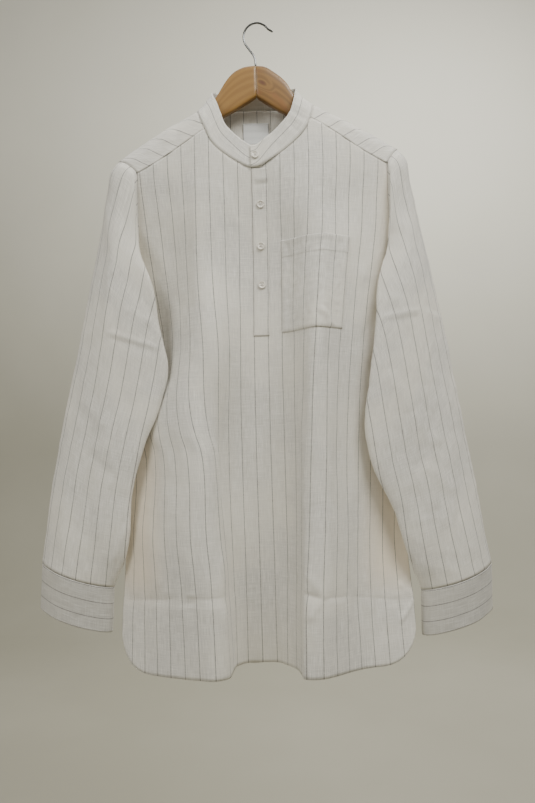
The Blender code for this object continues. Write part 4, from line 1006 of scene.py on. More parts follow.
CLOTH_PALE = colour(236, 233, 224)
CLOTH_DARK = colour(194, 191, 182)
CLOTH_WARM = colour(234, 229, 214)
# painted shade: a warm beige for the body's sides beside the sleeves, where shade and bounced light
# fall
CLOTH_PAINTED_SIDE_SHADE = colour(231, 217, 193)
STRIPE_COLOUR = colour(130, 127, 123)
STRIPE_HALF = 0.00050
WEAVE_PITCH = 0.00062


def cloth_material(name, tone=1.0, painted_side_shade=False):
    """Striped cotton; a tone below 1 darkens it all as painted shade, and the side flag tints it beige
    towards the side seams as painted warm shade and bounced light.
    """
    g = Graph(name)
    s, t, _ = g.threads()
    # slubs: uneven threads along and across the cloth
    slub = g.plus(g.times(g.grain(s, t, 1900.0, 55.0, 0.0, 4.0), 0.6),
                  g.times(g.grain(s, t, 60.0, 1900.0, 7.0, 4.0), 0.4))
    base = g.blend(g.ramp(slub, 0.36, 0.62), CLOTH_DARK, CLOTH_PALE)
    # thicker threads and thin places that show from a step away
    thick = g.plus(g.times(g.grain(s, t, 430.0, 13.0, 1.0, 3.0), 0.55),
                   g.times(g.grain(s, t, 15.0, 430.0, 9.0, 3.0), 0.45))
    base = g.blend(g.ramp(thick, 0.42, 0.60, 0.42, 0.0), base, CLOTH_DARK)
    cloud = g.noise(g.vector(s, t, 3.0), 9.0)
    base = g.blend(g.ramp(cloud, 0.35, 0.68, 0.0, 0.5), base, CLOTH_WARM)
    # painted shade: the body's sides beside the sleeves, above the slits, are tinted beige for warm
    # shade and light bounced through the cloth
    if painted_side_shade:
        side = g.ramp(g.math("ABSOLUTE", s), 0.165, 0.225, 0.0, 0.75)
        side = g.times(side, g.ramp(t, SLIT_Z - 0.015, SLIT_Z + 0.045))
        base = g.blend(side, base, CLOTH_PAINTED_SIDE_SHADE)
    # the woven stripes, a little wavy and uneven
    far = g.math("FRACT", g.math("DIVIDE", s, PITCH))
    far = g.times(g.math("ABSOLUTE", g.less(far, 0.5)), PITCH)
    waver = g.less(g.noise(g.vector(s, t, 5.0), 90.0, 2.0), 0.5)
    far = g.math("ABSOLUTE", g.plus(far, g.times(waver, 0.0005)))
    line = g.ramp(far, STRIPE_HALF - 0.00016, STRIPE_HALF + 0.00022, 1.0, 0.0)
    line = g.times(line, g.ramp(g.grain(s, t, 30.0, 420.0), 0.3, 0.7, 0.68, 1.0))
    base = g.blend(line, base, STRIPE_COLOUR)
    # painted shade: a tone below 1 darkens the whole cloth, as for the cuffs, which hang low and turn
    # away from the light
    base = g.blend(1.0, base, (tone, tone, tone, 1.0), "MULTIPLY")
    g.set(Base_Color=base, Roughness=g.ramp(slub, 0.3, 0.7, 0.93, 0.80))
    g.set(Specular_IOR_Level=0.25, Sheen_Weight=0.22, Sheen_Roughness=0.5)
    turn = 2 * math.pi / WEAVE_PITCH
    weave = g.plus(g.math("SINE", g.times(s, turn)), g.math("SINE", g.times(t, turn)))
    g.relief(g.plus(g.times(weave, 0.2), slub), 0.55, 0.00030)
    return g.mat


def thread_material():
    g = Graph("sewing_thread")
    g.set(Base_Color=g.blend(g.object_noise(4000.0), colour(205, 201, 194), colour(236, 233, 227)))
    g.set(Roughness=0.75, Sheen_Weight=0.3)
    return g.mat


def tape_material():
    g = Graph("woven_tape")
    s, t, _ = g.threads()
    satin = g.grain(s, t, 3200.0, 500.0)
    g.set(Base_Color=g.blend(satin, colour(206, 207, 203), colour(228, 228, 224)))
    g.set(Roughness=0.55, Sheen_Weight=0.2)
    g.relief(satin, 0.4, 0.0002)
    return g.mat


def button_material():
    g = Graph("button_shell")
    swirl = g.ramp(g.object_noise(420.0, 4.0), 0.35, 0.65)
    g.set(Base_Color=g.blend(swirl, colour(214, 207, 192), colour(240, 236, 226)))
    g.set(Roughness=0.24, Coat_Weight=0.35, Coat_Roughness=0.12)
    return g.mat


def wire_material():
    g = Graph("polished_wire")
    scuff = g.object_noise(900.0)
    g.set(Base_Color=colour(112, 113, 112), Metallic=1.0)
    g.set(Roughness=g.ramp(scuff, 0.35, 0.7, 0.10, 0.26))
    g.relief(scuff, 0.12, 0.00005)
    return g.mat


def wood_material(name, light, dark, knot=None):
    """Varnished wood: s runs across the bar, t along it and y through its depth."""
    g = Graph(name)
    s, t, y = g.threads()
    warp = g.grain(s, t, 30.0, 7.0, y)
    rings = g.plus(g.times(s, 620.0), g.times(warp, 14.0))
    rings = g.plus(rings, g.times(y, 260.0))
    if knot:
        # the rings close round the knot
        ds = g.math("DIVIDE", g.less(s, knot[0]), 0.55)
        dt = g.less(t, knot[1])
        far = g.math("SQRT", g.plus(g.times(ds, ds), g.times(dt, dt)))
        pull = g.ramp(far, 0.0, 0.026, 1.0, 0.0)
        rings = g.plus(g.times(rings, g.less(1.0, pull)), g.times(g.times(far, 1500.0), pull))
    band = g.plus(g.times(g.math("SINE", rings), 0.5), 0.5)
    fibre = g.grain(s, t, 2600.0, 60.0, y, 4.0)
    tone = g.plus(g.times(band, 0.38), g.times(fibre, 0.62))
    base = g.blend(g.ramp(tone, 0.2, 0.85), light, dark)
    if knot:
        base = g.blend(g.ramp(far, 0.0022, 0.0085, 0.92, 0.0), base, colour(92, 55, 27))
        stain = g.ramp(g.grain(s, t, 40.0, 26.0, 2.0), 0.5, 0.68, 0.0, 0.55)
        base = g.blend(stain, base, colour(132, 84, 42))
    g.set(Base_Color=base, Roughness=g.ramp(fibre, 0.3, 0.7, 0.34, 0.48))
    g.set(Coat_Weight=0.12, Coat_Roughness=0.25)
    g.relief(fibre, 0.25, 0.00012)
    return g.mat


cloth = cloth_material("striped_cotton")
# the body's cloth carries the painted beige shade on its sides
side_shaded_body_cloth = cloth_material("striped_cotton_body_painted_side_shade", painted_side_shade=True)
# painted shade: the cuffs get a darker copy of the cloth, for hanging low and turned away from the
# light
shaded_cuff_cloth = cloth_material("striped_cotton_cuff_painted_shade", tone=0.80)
thread_mat = thread_material()
tape_mat = tape_material()
button_mat = button_material()
wire_mat = wire_material()
WOOD = {
    -1: wood_material("varnished_wood_left", colour(144, 108, 52), colour(130, 94, 43)),
    1: wood_material("varnished_wood_right", colour(134, 99, 48), colour(110, 78, 36),
                     (-0.001, 0.010)),
}

# Front and back
INNER = 0.0003          # the shell's two faces, from the panel's middle surface
OUTER = 0.0010
SEAM_UNDER = 0.0013     # the seam allowance runs on this far under its neighbour
SEAM_SUNK = 0.0009
HEM_STITCH = 0.0075
YOKE_STITCH = 0.0035

# Pressed across the front and the back above the hem
FRONT_FOLDS = [(-265, -854, -150, -841, 8, -1.7), (-160, -841.5, -86, -841, 8, -1.7),
               (92, -842, 165, -849, 8, -1.6), (150, -848, 262, -864, 8, -1.5)]
BACK_FOLDS = [(-235, -853, -60, -845, 8, -1.6), (55, -846, 240, -856, 8, -1.6)]
FRONT_RIDGES = [
    # puckers where the pressed line meets the pleat and the side
    (92, -812, 118, -848, 2.8, 2.2), (118, -838, 94, -874, 2.8, 2.2),
    (88, -838, 108, -843, 4, -1.8), (240, -838, 264, -862, 3.2, 1.8),
    (264, -858, 236, -892, 3.2, 1.6), (165, -842, 215, -920, 12, -1.2),
    # drag lines from the armholes
    (-200, -300, -150, -380, 9, 1.0), (-190, -350, -120, -455, 10, -0.9),
    (-235, -430, -165, -520, 8, 1.3), (-225, -455, -150, -560, 9, -1.2),
    (205, -330, 160, -420, 8, 1.2), (235, -430, 175, -540, 8, 1.3),
    (225, -420, 150, -520, 8, -1.1),
    # the pucker at the top of the placket, and the chest
    (-10, -264, 16, -262, 4.4, -0.8), (-8, -256, 14, -254.5, 4.6, 0.9),
    (-60, -255, -30, -330, 8, 0.8), (45, -235, 26, -320, 8, 0.8),
    (98, -452, 122, -500, 4, 1.0),
    # long soft lines down the body, and the crests of the two pleats
    (-118, -560, -80, -700, 11, 0.9), (100, -560, 128, -720, 11, 0.9),
    (-200, -610, -150, -690, 9, 0.9), (200, -640, 165, -740, 9, 0.9),
    (-74, -570, -99, -866, 6, 2.0), (-98, -838, -100, -960, 5.5, 1.9),
    (-62, -560, -86, -940, 9, -1.2), (70, -560, 94, -866, 6, 1.7),
    (95, -838, 90, -960, 5.5, 1.7), (-94, -270, -90, -520, 7, 0.9),
    (98, -300, 104, -560, 6, 1.0),
]
BACK_RIDGES = [(-215, -430, -150, -540, 8, 1.2), (215, -430, 150, -540, 8, 1.2),
               (-120, -300, -90, -420, 10, 1.0), (110, -320, 130, -450, 10, -1.0),
               (20, -560, 50, -700, 11, 0.9)]


def front_relief(a, z):
    """How far the front's cloth stands out from its smooth form."""
    edge = step((HALF_FRONT - np.abs(a)) / 0.012)
    high = creases(a, z, FRONT_RIDGES, FRONT_FOLDS)
    high = high + bump(a, z, (-0.143, -0.837), 0.004, 0.004, 0.0014)
    high = high + bump(a, z, (-0.147, -0.848), 0.010, 0.004, -0.0008)
    soft = rumple(a, z, 11, 0.045, 0.00050, 2.6) + rumple(a, z, 12, 0.015, 0.00020, 1.6)
    return high + soft * (0.4 + 0.6 * edge) + 0.0006 * step((-0.845 - z) / 0.010)


def back_relief(a, z):
    soft = rumple(a, z, 21, 0.050, 0.00045, 2.6) + rumple(a, z, 22, 0.016, 0.00012, 1.6)
    return creases(a, z, BACK_RIDGES, BACK_FOLDS) + soft


class Face:
    """The outer face of a finished panel, read by its flat coordinates."""

    def __init__(self, panel, relief):
        self.panel = panel
        self.relief = relief

    def base(self, a, z):
        return self.panel.at(a, z) + self.panel.normal(a, z) * self.relief(a, z)[..., None]

    def normal(self, a, z):
        e = 0.0015
        du = self.base(a + e, z) - self.base(a - e, z)
        dv = self.base(a, z + e) - self.base(a, z - e)
        return unit(np.cross(du, dv)) * self.panel.side

    def at(self, a, z, out=0.0):
        return self.base(a, z) + self.normal(a, z) * (OUTER + out)


def even_rows(count, dense):
    """Shares from 0 to 1 that crowd round the share dense, where the pressed line runs."""
    t = np.linspace(0, 1, 2001)
    weight = 1 + 2.2 * np.exp(-((t - dense) / 0.035) ** 2)
    run = summed(0.5 * (weight[1:] + weight[:-1]))
    return np.interp(np.linspace(0, run[-1], count + 1), run, t)


def panel_piece(name, panel, edges, shares, relief, mat):
    """The cut panel with its creases, and the area of its cut."""
    top, low = edges
    t = shares[:, None, None]
    cut = top[None] * (1 - t) + low[None] * t
    a, z = cut[..., 0], cut[..., 1] - SEAM
    guide = panel.normal(a, z)
    p = panel.at(a, z) + guide * relief(a, z)[..., None]
    # the seam allowance runs on under the yoke, the collar and the sleeves
    p[0] += (0.0, 0.0, SEAM_UNDER)
    p[0] -= guide[0] * SEAM_SUNK
    return cloth_mesh(name, p, outward(p, guide), INNER, OUTER, a, z, mat), cut_area(cut)


def hem_stitches(seams, face, half, hem_z):
    line = along(hem_line(half, hem_z), 160, bend=False)
    t = unit(np.gradient(line, axis=0))
    inner = line + np.stack([-t[:, 1], t[:, 0]], axis=1) * HEM_STITCH
    seams.on_face(face, inner[2:-2, 0], inner[2:-2, 1] - SEAM)


front = make_front()
back = make_back(front)
front_face = Face(front, front_relief)
back_face = Face(back, back_relief)

obj, area = panel_piece("front_cloth", front, front_edges(164), even_rows(176, 0.875),
                        front_relief, side_shaded_body_cloth)
seams = Seams()
hem_stitches(seams, front_face, HALF_FRONT, HEM_Z)
for sign in (-1, 1):
    line = along(FRONT_YOKE[sign], 24)
    seams.on_face(front_face, line[:, 0], line[:, 1] - YOKE_STITCH)
finish_cloth(obj, "front", seams, "front_stitches")

obj, area = panel_piece("back_cloth", back, back_edges(30, 72), even_rows(150, 0.87),
                        back_relief, cloth)
seams = Seams()
hem_stitches(seams, back_face, HALF_BACK, BACK_HEM_Z)
line = along(BACK_YOKE, 60)
seams.on_face(back_face, line[:, 0], line[:, 1] - YOKE_STITCH)
finish_cloth(obj, "back", seams, "back_stitches")

# Yoke, one piece over both shoulders
YOKE_ROWS, ARM_STEPS, BACK_STEPS = 26, 44, 84
YOKE_COLUMNS = ARM_STEPS * 2 + BACK_STEPS
YOKE_STRIPE = -0.0168   # x of a place midway between two stripes

yoke_p = yoke_grid(front, back, YOKE_ROWS, ARM_STEPS, BACK_STEPS)
marks = yoke_marks(yoke_lines(front, back), ARM_STEPS, BACK_STEPS)[None, :]
yoke_s = yoke_p[..., 0] - YOKE_STRIPE
for sign, forward in ((-1, marks < 2.0), (1, marks > 12.0)):
    # in front of the shoulder line the stripes lean by twice its slope
    start = np.array(NECK_SIDE[sign])
    way = unit(np.array(TIP[sign]) - start)
    off = yoke_p - start
    low = np.linalg.norm(off - (off @ way)[..., None] * way, axis=-1)
    yoke_s = yoke_s + sign * 2.0 * abs(way[2]) * low * forward
guide = grid_normals(yoke_p)
guide = guide * np.sign(guide[YOKE_ROWS // 2, YOKE_COLUMNS // 2, 1])
round_yoke = yoke_p[..., 2] + yoke_p[..., 1]
soft = (rumple(yoke_p[..., 0], round_yoke, 31, 0.036, 0.00070, 1.5)
        + rumple(yoke_p[..., 0], round_yoke, 32, 0.014, 0.00026, 1.2))
rows = np.arange(YOKE_ROWS + 1)
rim = np.clip(np.minimum(rows, YOKE_ROWS - rows) / 5.0, 0.15, 1)
yoke_p = yoke_p + guide * (soft * rim[:, None])[..., None]
yoke_n = outward(yoke_p, guide)
obj = cloth_mesh("yoke_cloth", yoke_p, yoke_n, INNER, OUTER, yoke_s, yoke_p[..., 2], cloth)
seams = Seams()
for column in (1.1, YOKE_COLUMNS - 1.1):
    seams.on_grid(yoke_p, yoke_n, np.linspace(0.2, YOKE_ROWS - 0.2, 60), column, OUTER)
columns = np.linspace(0, YOKE_COLUMNS, 260)
columns = columns[(columns > ARM_STEPS) & (columns < ARM_STEPS + BACK_STEPS)]
seams.on_grid(yoke_p, yoke_n, YOKE_ROWS - 0.45, columns, OUTER)
finish_cloth(obj, "yoke",
             seams, "yoke_stitches")

# Sleeves
SLEEVE_CREASES = {
    -1: [(-236, -474, -150, -503, 3, 1.7), (-230, -483, -152, -512, 4.5, -0.6),
         (-206, -440, -160, -470, 7, 1.0), (-205, -225, -236, -520, 9, 2.0),
         (-186, -240, -178, -470, 9, -1.2), (-232, -500, -285, -790, 12, -1.8),
         (-200, -560, -252, -800, 10, 1.3), (-198, -742, -226, -806, 4.5, 1.4),
         (-192, -768, -216, -818, 4.5, 1.2), (-241, -760, -256, -815, 5, -1.0),
         (-288, -700, -302, -790, 6, 0.9), (-270, -560, -225, -620, 8, 1.0),
         (-262, -640, -215, -690, 8, -0.9)],
    1: [(158, -470, 224, -457, 3, 1.7), (160, -479, 222, -467, 4.5, -0.6),
        (222, -458, 262, -466, 3.5, 1.2), (180, -430, 206, -492, 7, 0.9),
        (165, -545, 200, -600, 8, 1.2), (196, -600, 236, -655, 9, 1.2),
        (232, -590, 205, -690, 9, -1.1), (210, -670, 262, -720, 9, 1.1),
        (190, -700, 226, -770, 8, -1.0), (206, -735, 216, -835, 6, 1.2),
        (236, -750, 243, -825, 6, -1.0), (262, -745, 276, -815, 6, 0.9),
        (207, -290, 222, -400, 9, -1.3), (252, -560, 284, -730, 7, 1.0)],
}
SLEEVE_FRONT, SLEEVE_UNDER, SLEEVE_BACK, SLEEVE_ROWS = 60, 24, 52, 150
SLEEVE_SEAM = SLEEVE_FRONT + SLEEVE_UNDER       # the column of the seam under the arm
SLEEVE_HANG = {-1: 0.0100, 1: 0.0095}


def sleeve_threads(p):
    """Thread coordinates of a sleeve that is opened along the seam under the arm.

    They run from the outer fold across the sleeve, straight to its length, so the
    stripes stay parallel to the fold and none is squeezed at the seam.
    """
    count = p.shape[1]
    axis = unit(eased(np.gradient(p[:, 0], axis=0), 30))
    way = np.roll(p, -1, axis=1) - p
    across = way - np.einsum("ijk,ik->ij", way, axis)[..., None] * axis[:, None, :]
    gap = eased(np.linalg.norm(across, axis=2), 60)
    far = np.concatenate([np.zeros((len(p), 1)), np.cumsum(gap, axis=1)], axis=1)
    order = (SLEEVE_SEAM + np.arange(count + 1)) % count
    s = np.where(np.arange(count + 1) <= count - SLEEVE_SEAM,
                 far[:, order] - far[:, -1:], far[:, order])
    s[:, 0] = far[:, SLEEVE_SEAM] - far[:, -1]
    s[:, count - SLEEVE_SEAM] = 0.0
    s[:, -1] = far[:, SLEEVE_SEAM]
    return s, lengths(p[:, 0])[:, None]


def tucked_head(p, sign):
    """The head of the sleeve drawn in to the armhole seam, where it is sewn."""
    count = p.shape[1]
    place = np.arange(count)
    row = np.arange(len(p))[:, None]
    near = np.exp(-(row / 2.6) ** 2)
    ahead = place <= SLEEVE_FRONT
    lift = np.sin(np.pi * np.clip(place / SLEEVE_FRONT, 0, 1)) ** 0.4
    cap = step(1.5 - (count - place) / 26)
    # lower down the sleeve hangs over the seam, in front of the body
    beside = step((place - 8) / 14) * (1 - step((place - 40) / 18))
    hang = np.exp(-((row - 6) / 7.5) ** 2) * step(row / 3.0) * beside
    move = np.zeros(p.shape)
    move[..., 0] = -sign * (near * np.where(ahead, 0.0027, 0.0016 + 0.0020 * cap)
                            + SLEEVE_HANG[sign] * hang)
    move[..., 1] = -0.0012 * (near * np.where(ahead, lift, -0.4) + hang)
    return p + move


def sleeve_piece(sign, side):
    p = sleeve_grid(front, back, sign, SLEEVE_FRONT, SLEEVE_UNDER, SLEEVE_BACK, SLEEVE_ROWS)
    s, t = sleeve_threads(p)
    guide = face_normals(p) * sign
    p = tucked_head(p, sign)
    count = p.shape[1]
    place = np.arange(count)
    row = np.arange(SLEEVE_ROWS + 1)[:, None]
    x, z = p[..., 0], p[..., 2]
    # the front layer has its own creases, the back layer those of the other sleeve, mirrored
    ahead = step((SLEEVE_FRONT + 6 - place) / 8.0)
    mirrored = [(-u0, v0, -u1, v1, wide, high)
                for u0, v0, u1, v1, wide, high in SLEEVE_CREASES[-sign]]
    high = (creases(x, z, SLEEVE_CREASES[sign]) * ahead
            + 0.8 * creases(x, z, mirrored) * (1 - ahead)
            + rumple(x, z, 40 + sign, 0.042, 0.0007, 1.8)
            + rumple(x, z, 43 + sign, 0.014, 0.00014, 1.2))
    foot = step((SLEEVE_ROWS - row) / 5.0)
    high = high * step(row / 9.0) * (0.25 + 0.75 * foot)
    # small gathers above the cuff
    gather = np.exp(-((SLEEVE_ROWS - row) / 7.0) ** 2) * foot
    high = high + 0.0004 * gather * np.sin(place * 2 * math.pi / 9.0)
    p = p + guide * high[..., None]
    out = face_normals(p) * sign
    order = (SLEEVE_SEAM + np.arange(count + 1)) % count
    p, out = p[:, order], out[:, order]
    obj = cloth_mesh("sleeve_cloth_" + side, p, out, INNER, OUTER, s, t, cloth)
    seams = Seams()
    seams.on_grid(p, out, SLEEVE_ROWS - 1.5, np.linspace(0.2, count - 0.2, 240), OUTER)
    finish_cloth(obj, "sleeve_" + side,
                 seams,
                 "sleeve_stitches_" + side)


# Cuffs
BAND_INNER = 0.0002     # the two faces of the cuffs' and the collar's shells
BAND_OUTER = 0.0016
BUTTON_LIFT = 0.0020    # a band's button stands this far off its middle surface
CUFF_RING = (40, 12, 36)
CUFF_OPENS = 14         # the cuff starts this many points into the back layer
CUFF_LAP = 9            # points by which its end laps over its start
CUFF_GAP = 0.0010
CUFF_ROWS = 30
CUFF_STRIPE = 0.0222 - PITCH / 2


def cuff_piece(sign, side):
    ring = sleeve_rings(front, back, sign, *CUFF_RING)[-1]
    begin = CUFF_RING[0] + CUFF_RING[1] + CUFF_OPENS
    order = (begin + np.arange(len(ring) + CUFF_LAP)) % len(ring)
    line = ring[order] if sign < 0 else ring[order[::-1]]
    line = eased(along(line, 161, bend=False), 10)
    height = CUFF_HEIGHT * np.linspace(0, 1, CUFF_ROWS + 1)
    way = unit(np.array(CUFF_DROP[sign]))
    p = np.array([line + way * (CUFF_GAP + h) for h in height])
    out = -grid_normals(p)
    count = p.shape[1]
    lap = 0.0024 * step((np.arange(count) / 4.0 - 33) / 3.0)
    soft = rumple(p[..., 0] + p[..., 1], p[..., 2], 50 + sign, 0.05, 0.00035, 1.0)
    p = p + out * (0.0001 + lap + soft)[..., None]
    obj = cloth_mesh("shaded_cuff_cloth_" + side, p, out, BAND_INNER, BAND_OUTER,
                     height[:, None] - CUFF_STRIPE, lengths(line), shaded_cuff_cloth)
    seams = Seams()
    for row in (1, CUFF_ROWS - 1):
        seams.on_grid(p, out, row, np.linspace(1.5, count - 2.5, 200), BAND_OUTER)
    for column in (2, count - 3):
        seams.on_grid(p, out, np.linspace(1, CUFF_ROWS - 1, 40), column, BAND_OUTER)
    finish_cloth(obj, "cuff_" + side,
                 seams, "cuff_stitches_" + side)
    spot, turn = p[10:21, -16].mean(axis=0), out[15, -16]
    make_button("cuff_button_" + side, spot + turn * BUTTON_LIFT, turn, "button_cuff_" + side)


for sign, side in ((-1, "left"), (1, "right")):
    sleeve_piece(sign, side)
    cuff_piece(sign, side)

# Collar band
COLLAR_LAP = 0.0075     # added at each end of the band
COLLAR_LIFT = 0.0028
COLLAR_STRIPE = 0.0207 - PITCH / 2


def lapped_band(p, m):
    """Lengthen the band at both ends and lift its last end over the first."""
    run = lengths(p[0])
    share = np.arange(1, 9) / 8
    less = [p[:, 0] + (COLLAR_LAP * k, 0.0, 0.0) for k in share[::-1]]
    more = [p[:, -1] - (COLLAR_LAP * k, 0.0, 0.0) for k in share]
    p = np.concatenate([np.stack(less, axis=1), p, np.stack(more, axis=1)], axis=1)
    m = np.concatenate([m[:, :1]] * 8 + [m] + [m[:, -1:]] * 8, axis=1)
    run = np.concatenate([-COLLAR_LAP * share[::-1], run, run[-1] + COLLAR_LAP * share])
    over = step((0.0455 + COLLAR_LAP - (run[-1] - run)) / 0.0318)
    return p - m * (COLLAR_LIFT * over)[None, :, None], m, run


p, m, run = lapped_band(*collar_grid(front, back, 176, 10))
long = run[-1]
u, height = np.meshgrid(run, np.linspace(0, 1, 11) * (COLLAR_HEIGHT - COLLAR_SEAM) + COLLAR_SEAM)
soft = rumple(u, height, 61, 0.035, 0.00028, 1.0)
# ripples, counted from the lapped end and from the other one
soft = soft + creases(u - long, height, [(-128, 0, -120, 36, 2.6, 1.1), (-113, -4, -108, 36, 2.4, -1),
                                         (-104, 4, -98, 38, 2.2, 1.1), (-88, -2, -86, 30, 3, -0.8)])
soft = soft + creases(u, height, [(92, -2, 96, 36, 3.4, 0.8), (60, 4, 56, 36, 3.4, -0.6)])
p = p - m * soft[..., None]
# the seam closes: the band's lower edge reaches the panels it is sewn to
p[0] += 0.40 * (p[0] - p[1])
out = outward(p, -m)
# the band is cut straight, so its stripe slants to the lower edge where the ends lap
drop = (0.0085 * step((0.075 - run) / 0.085) ** 1.3
        + 0.0205 * step((run - (long - 0.070)) / 0.085) ** 1.6)
obj = cloth_mesh("collar_cloth", p, out, BAND_INNER, BAND_OUTER, height - COLLAR_STRIPE + drop,
                 run, cloth)
seams = Seams()
columns = np.linspace(1.2, len(run) - 2.2, 420)
for row in (0.7, 9.2):
    seams.on_grid(p, out, row, columns, BAND_OUTER)
seams.on_grid(p, out, np.linspace(1, 9, 30), len(run) - 2.4, BAND_OUTER)
seams.on_grid(p, out, 9.2, columns, BAND_INNER, inside=True)
finish_cloth(obj, "collar_band",
             seams, "collar_stitches")
make_button("collar_button", p[4:7, -8].mean(axis=0) + out[5, -8] * BUTTON_LIFT, out[5, -8],
            "button_collar")


# Placket and pocket on the finished front, each cut from another place along the cloth
PLACKET_CUT = 0.31
POCKET_CUT = 0.09


def patch(left, right, top, bottom, columns, rows):
    """Flat coordinates of a patch, and the distance from its three sewn sides."""
    a, z = np.meshgrid(np.linspace(left, right, columns), np.linspace(top, bottom, rows))
    return a, z, np.minimum(np.minimum(a - left, right - a), z - bottom)


a, z, edge = patch(PLACKET_LEFT, PLACKET_RIGHT, PLACKET_TOP, PLACKET_BOTTOM, 26, 200)
out = front_face.normal(a, z)
p = front_face.at(a, z, 0.0003) + out * (0.0005 * step(edge / 0.0030))[..., None]
# a stripe runs right along the placket's left edge
placket_s = np.where(a < 0, 0.94 * a, a)
obj = cloth_mesh("placket_cloth", p, out, 0.0, 0.0008, placket_s, z + PLACKET_CUT, cloth)
seams = Seams()
for side_a in (PLACKET_LEFT + 0.0013, PLACKET_RIGHT - 0.0013):
    seams.on_face(front_face, side_a, np.linspace(PLACKET_TOP - 0.003, PLACKET_BOTTOM + 0.0015, 60),
                  0.0013)
for low_z in (PLACKET_BOTTOM + 0.0015, PLACKET_BOTTOM + 0.0135):
    seams.on_face(front_face, np.linspace(PLACKET_LEFT + 0.0015, PLACKET_RIGHT - 0.0015, 12), low_z,
                  0.0014)
finish_cloth(obj, "placket", seams, "placket_stitches")

POCKET_LIFT = 0.0011    # the pocket's inner face, off the front
POCKET_SEWN = 0.00165   # its stitches
POCKET_IN = 0.0015      # the stitches' distance from its edges
a, z, edge = patch(POCKET_LEFT, POCKET_RIGHT, POCKET_TOP, POCKET_BOTTOM, 90, 120)
puff = 0.0006 * step(edge / 0.006)
sewn = -0.0008 * (1 - step(edge / 0.003)) - 0.0002 * (1 - step((z - POCKET_BOTTOM) / 0.002))
wave = (rumple(a, z, 71, 0.03, 0.0003, 1.5) * step(edge / 0.012)
        + creases(a, z, [(95, -452, 122, -484, 3.6, 1.1), (112, -440, 128, -480, 4, -0.8),
                         (60, -355, 64, -470, 9, 0.7)]) * step(edge / 0.006))
hem_step = 0.00045 * step((z - (POCKET_TOP - 0.0250)) / 0.0012)
mouth = 0.0011 * step((z - (POCKET_TOP - 0.012)) / 0.012) * step(edge / 0.02)
out = front_face.normal(a, z)
p = front_face.at(a, z, POCKET_LIFT)
p = p + out * (puff + sewn + np.clip(wave, -0.0007, 0.002) + hem_step + mouth)[..., None]
obj = cloth_mesh("pocket_cloth", p, outward(p, out), 0.0, 0.0005, a, z + POCKET_CUT, cloth)
seams = Seams()
for side_a in (POCKET_LEFT + POCKET_IN, POCKET_RIGHT - POCKET_IN):
    seams.on_face(front_face, side_a, np.linspace(POCKET_TOP - 0.001, POCKET_BOTTOM + POCKET_IN, 40),
                  POCKET_SEWN)
row = np.linspace(POCKET_LEFT + POCKET_IN, POCKET_RIGHT - POCKET_IN, 40)
seams.on_face(front_face, row, POCKET_BOTTOM + POCKET_IN, POCKET_SEWN - 0.0002)
seams.on_face(front_face, row, POCKET_TOP - 0.0235, POCKET_SEWN + 0.0011)
finish_cloth(obj, "pocket", seams, "pocket_stitches")

for k, z in enumerate((-0.2925, -0.3540, -0.4110)):
    spot = np.array([0.0010]), np.array([z])
    make_button("front_button_%d" % (k + 1), front_face.at(*spot, 0.0019)[0],
                front_face.normal(*spot)[0], "button_%d" % (k + 1))

# Bare label inside the back neck
LABEL_LEFT, LABEL_RIGHT = -0.0285, 0.0112
LABEL_TOP, LABEL_BOTTOM = -0.1456, -0.1800
rail = yoke_p[:, ARM_STEPS + BACK_STEPS // 2]
x, z = np.meshgrid(np.linspace(LABEL_LEFT, LABEL_RIGHT, 28), np.linspace(LABEL_TOP, LABEL_BOTTOM, 24))
y = np.interp(-z, -rail[:, 2], rail[:, 1]) - 0.0008
bulge = 0.0005 * np.sin((x - LABEL_LEFT) / (LABEL_RIGHT - LABEL_LEFT) * math.pi)
p = np.stack([x, y - bulge * step((-0.147 - z) / 0.01), z], axis=-1)
facing = np.zeros(p.shape) + (0.0, -1.0, 0.0)
obj = cloth_mesh("label_tape", p, outward(p, facing), 0.0, 0.0005, x, z, tape_mat)
seams = Seams()
row = np.linspace(LABEL_LEFT + 0.0010, LABEL_RIGHT - 0.0010, 30)
line = np.stack(np.broadcast_arrays(row, y[1, 0] - 0.0005, LABEL_TOP - 0.0016), axis=1)
seams.run(line, facing[0][:1].repeat(30, axis=0))
finish_cloth(obj, "label", seams, "label_stitches")

for sign, side in ((-1, "left"), (1, "right")):
    finish_hard(wood_arm(sign, "hanger_wood_" + side, WOOD[sign]), "hanger_" + side)
finish_hard(wire_hook("hook_wire", wire_mat), "hook")

# Stage: a pale floor that runs up into a far pale wall
FLOOR_Z = -1.55
WALL_Y = 3.1
COVE_R = 0.9
bow = [(-3.2, 0.0), (WALL_Y - COVE_R, 0.0)]
for w in math.pi / 2 * np.arange(1, 13) / 12:
    bow.append((WALL_Y - COVE_R + COVE_R * math.sin(w), COVE_R - COVE_R * math.cos(w)))
bow.append((WALL_Y, 5.0))
verts = [(x, y, FLOOR_Z + z) for x in (-5.0, 5.0) for y, z in bow]
faces = [(k, k + len(bow), k + 1 + len(bow), k + 1) for k in range(len(bow) - 1)]
g = Graph("cove_painted_light_falloff")
spot = g.add("TexCoord").outputs["Object"]
x, _, z = g.add("SeparateXYZ", ((0, spot),)).outputs
mottle = g.times(g.less(g.noise(spot, 1.4), 0.5), 0.25)
# painted light: the paint grows lighter upwards and to the right, as a lamp high on the right would
# light it; the mottle on it is random
height = g.plus(g.ramp(g.plus(g.times(x, 0.28), z), FLOOR_Z - 0.4, 1.6), mottle)
g.set(Base_Color=g.blend(height, colour(160, 157, 141), colour(222, 220, 206)), Roughness=0.9)
link_mesh("pale_cove", verts, faces, g.mat)

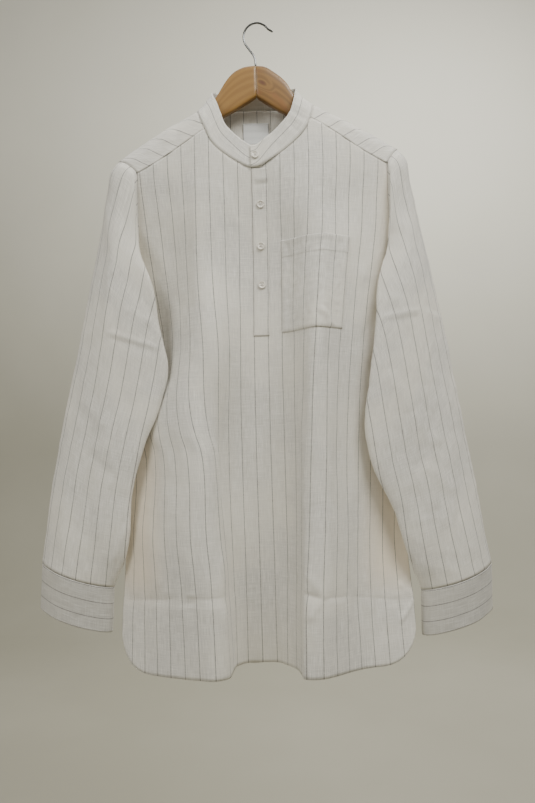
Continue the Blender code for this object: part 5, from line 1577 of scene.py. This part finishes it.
world = bpy.data.worlds.new("studio_air")
bpy.context.scene.world = world
world.use_nodes = True
world.node_tree.nodes["Background"].inputs[0].default_value = (1.0, 0.965, 0.90, 1.0)
world.node_tree.nodes["Background"].inputs[1].default_value = 0.40

# Name, place, target, size, power in watts and tint of each soft light
LIGHTS = [
    ("key_light", (0.75, -0.90, 0.80), (0.0, 0.0, -0.40), (0.9, 0.6), 25.0, (1.0, 1.0, 0.975)),
    ("fill_light", (-1.3, -1.5, 0.7), (0.0, 0.0, -0.4), (1.2, 1.0), 21.0, (1.0, 0.995, 0.965)),
    ("top_light", (0.1, -0.1, 1.5), (0.0, 0.0, -0.4), (1.6, 1.0), 10.0, (1.0, 0.99, 0.97)),
    ("back_light", (0.5, 1.9, 0.6), (0.0, 0.0, -0.5), (1.8, 1.6), 20.0, (1.0, 0.98, 0.95)),
    ("wall_light", (0.9, 1.3, 1.7), (0.3, 3.1, 0.2), (2.4, 1.0), 60.0, (1.0, 0.99, 0.96)),
]
for name, spot, target, size, power, tint in LIGHTS:
    light = bpy.data.lights.new(name, "AREA")
    light.shape = "RECTANGLE"
    light.size, light.size_y = size
    light.energy = power
    light.color = tint
    lamp = link_object(name, light)
    lamp.location = spot
    lamp.rotation_euler = (Vector(target) - Vector(spot)).to_track_quat("-Z", "Y").to_euler()

# Camera at the photograph's place, a little below the middle and looking up 4 degrees
tilt, roll = math.radians(4.0), math.radians(1.6)
ahead = Vector((0.0, math.cos(tilt), math.sin(tilt)))
level_up = Vector((0.0, -math.sin(tilt), math.cos(tilt)))
level_right = Vector((1.0, 0.0, 0.0))
right = level_right * math.cos(roll) - level_up * math.sin(roll)
up = level_right * math.sin(roll) + level_up * math.cos(roll)
camera = link_object("camera", bpy.data.cameras.new("camera"))
pose = Matrix((right, up, -ahead)).transposed().to_4x4()
pose.translation = Vector((-0.00236, -0.96, -0.64663))
camera.matrix_world = pose
camera.data.lens = 29.365
camera.data.sensor_width = 36.0
camera.data.clip_end = 30.0
bpy.context.scene.camera = camera
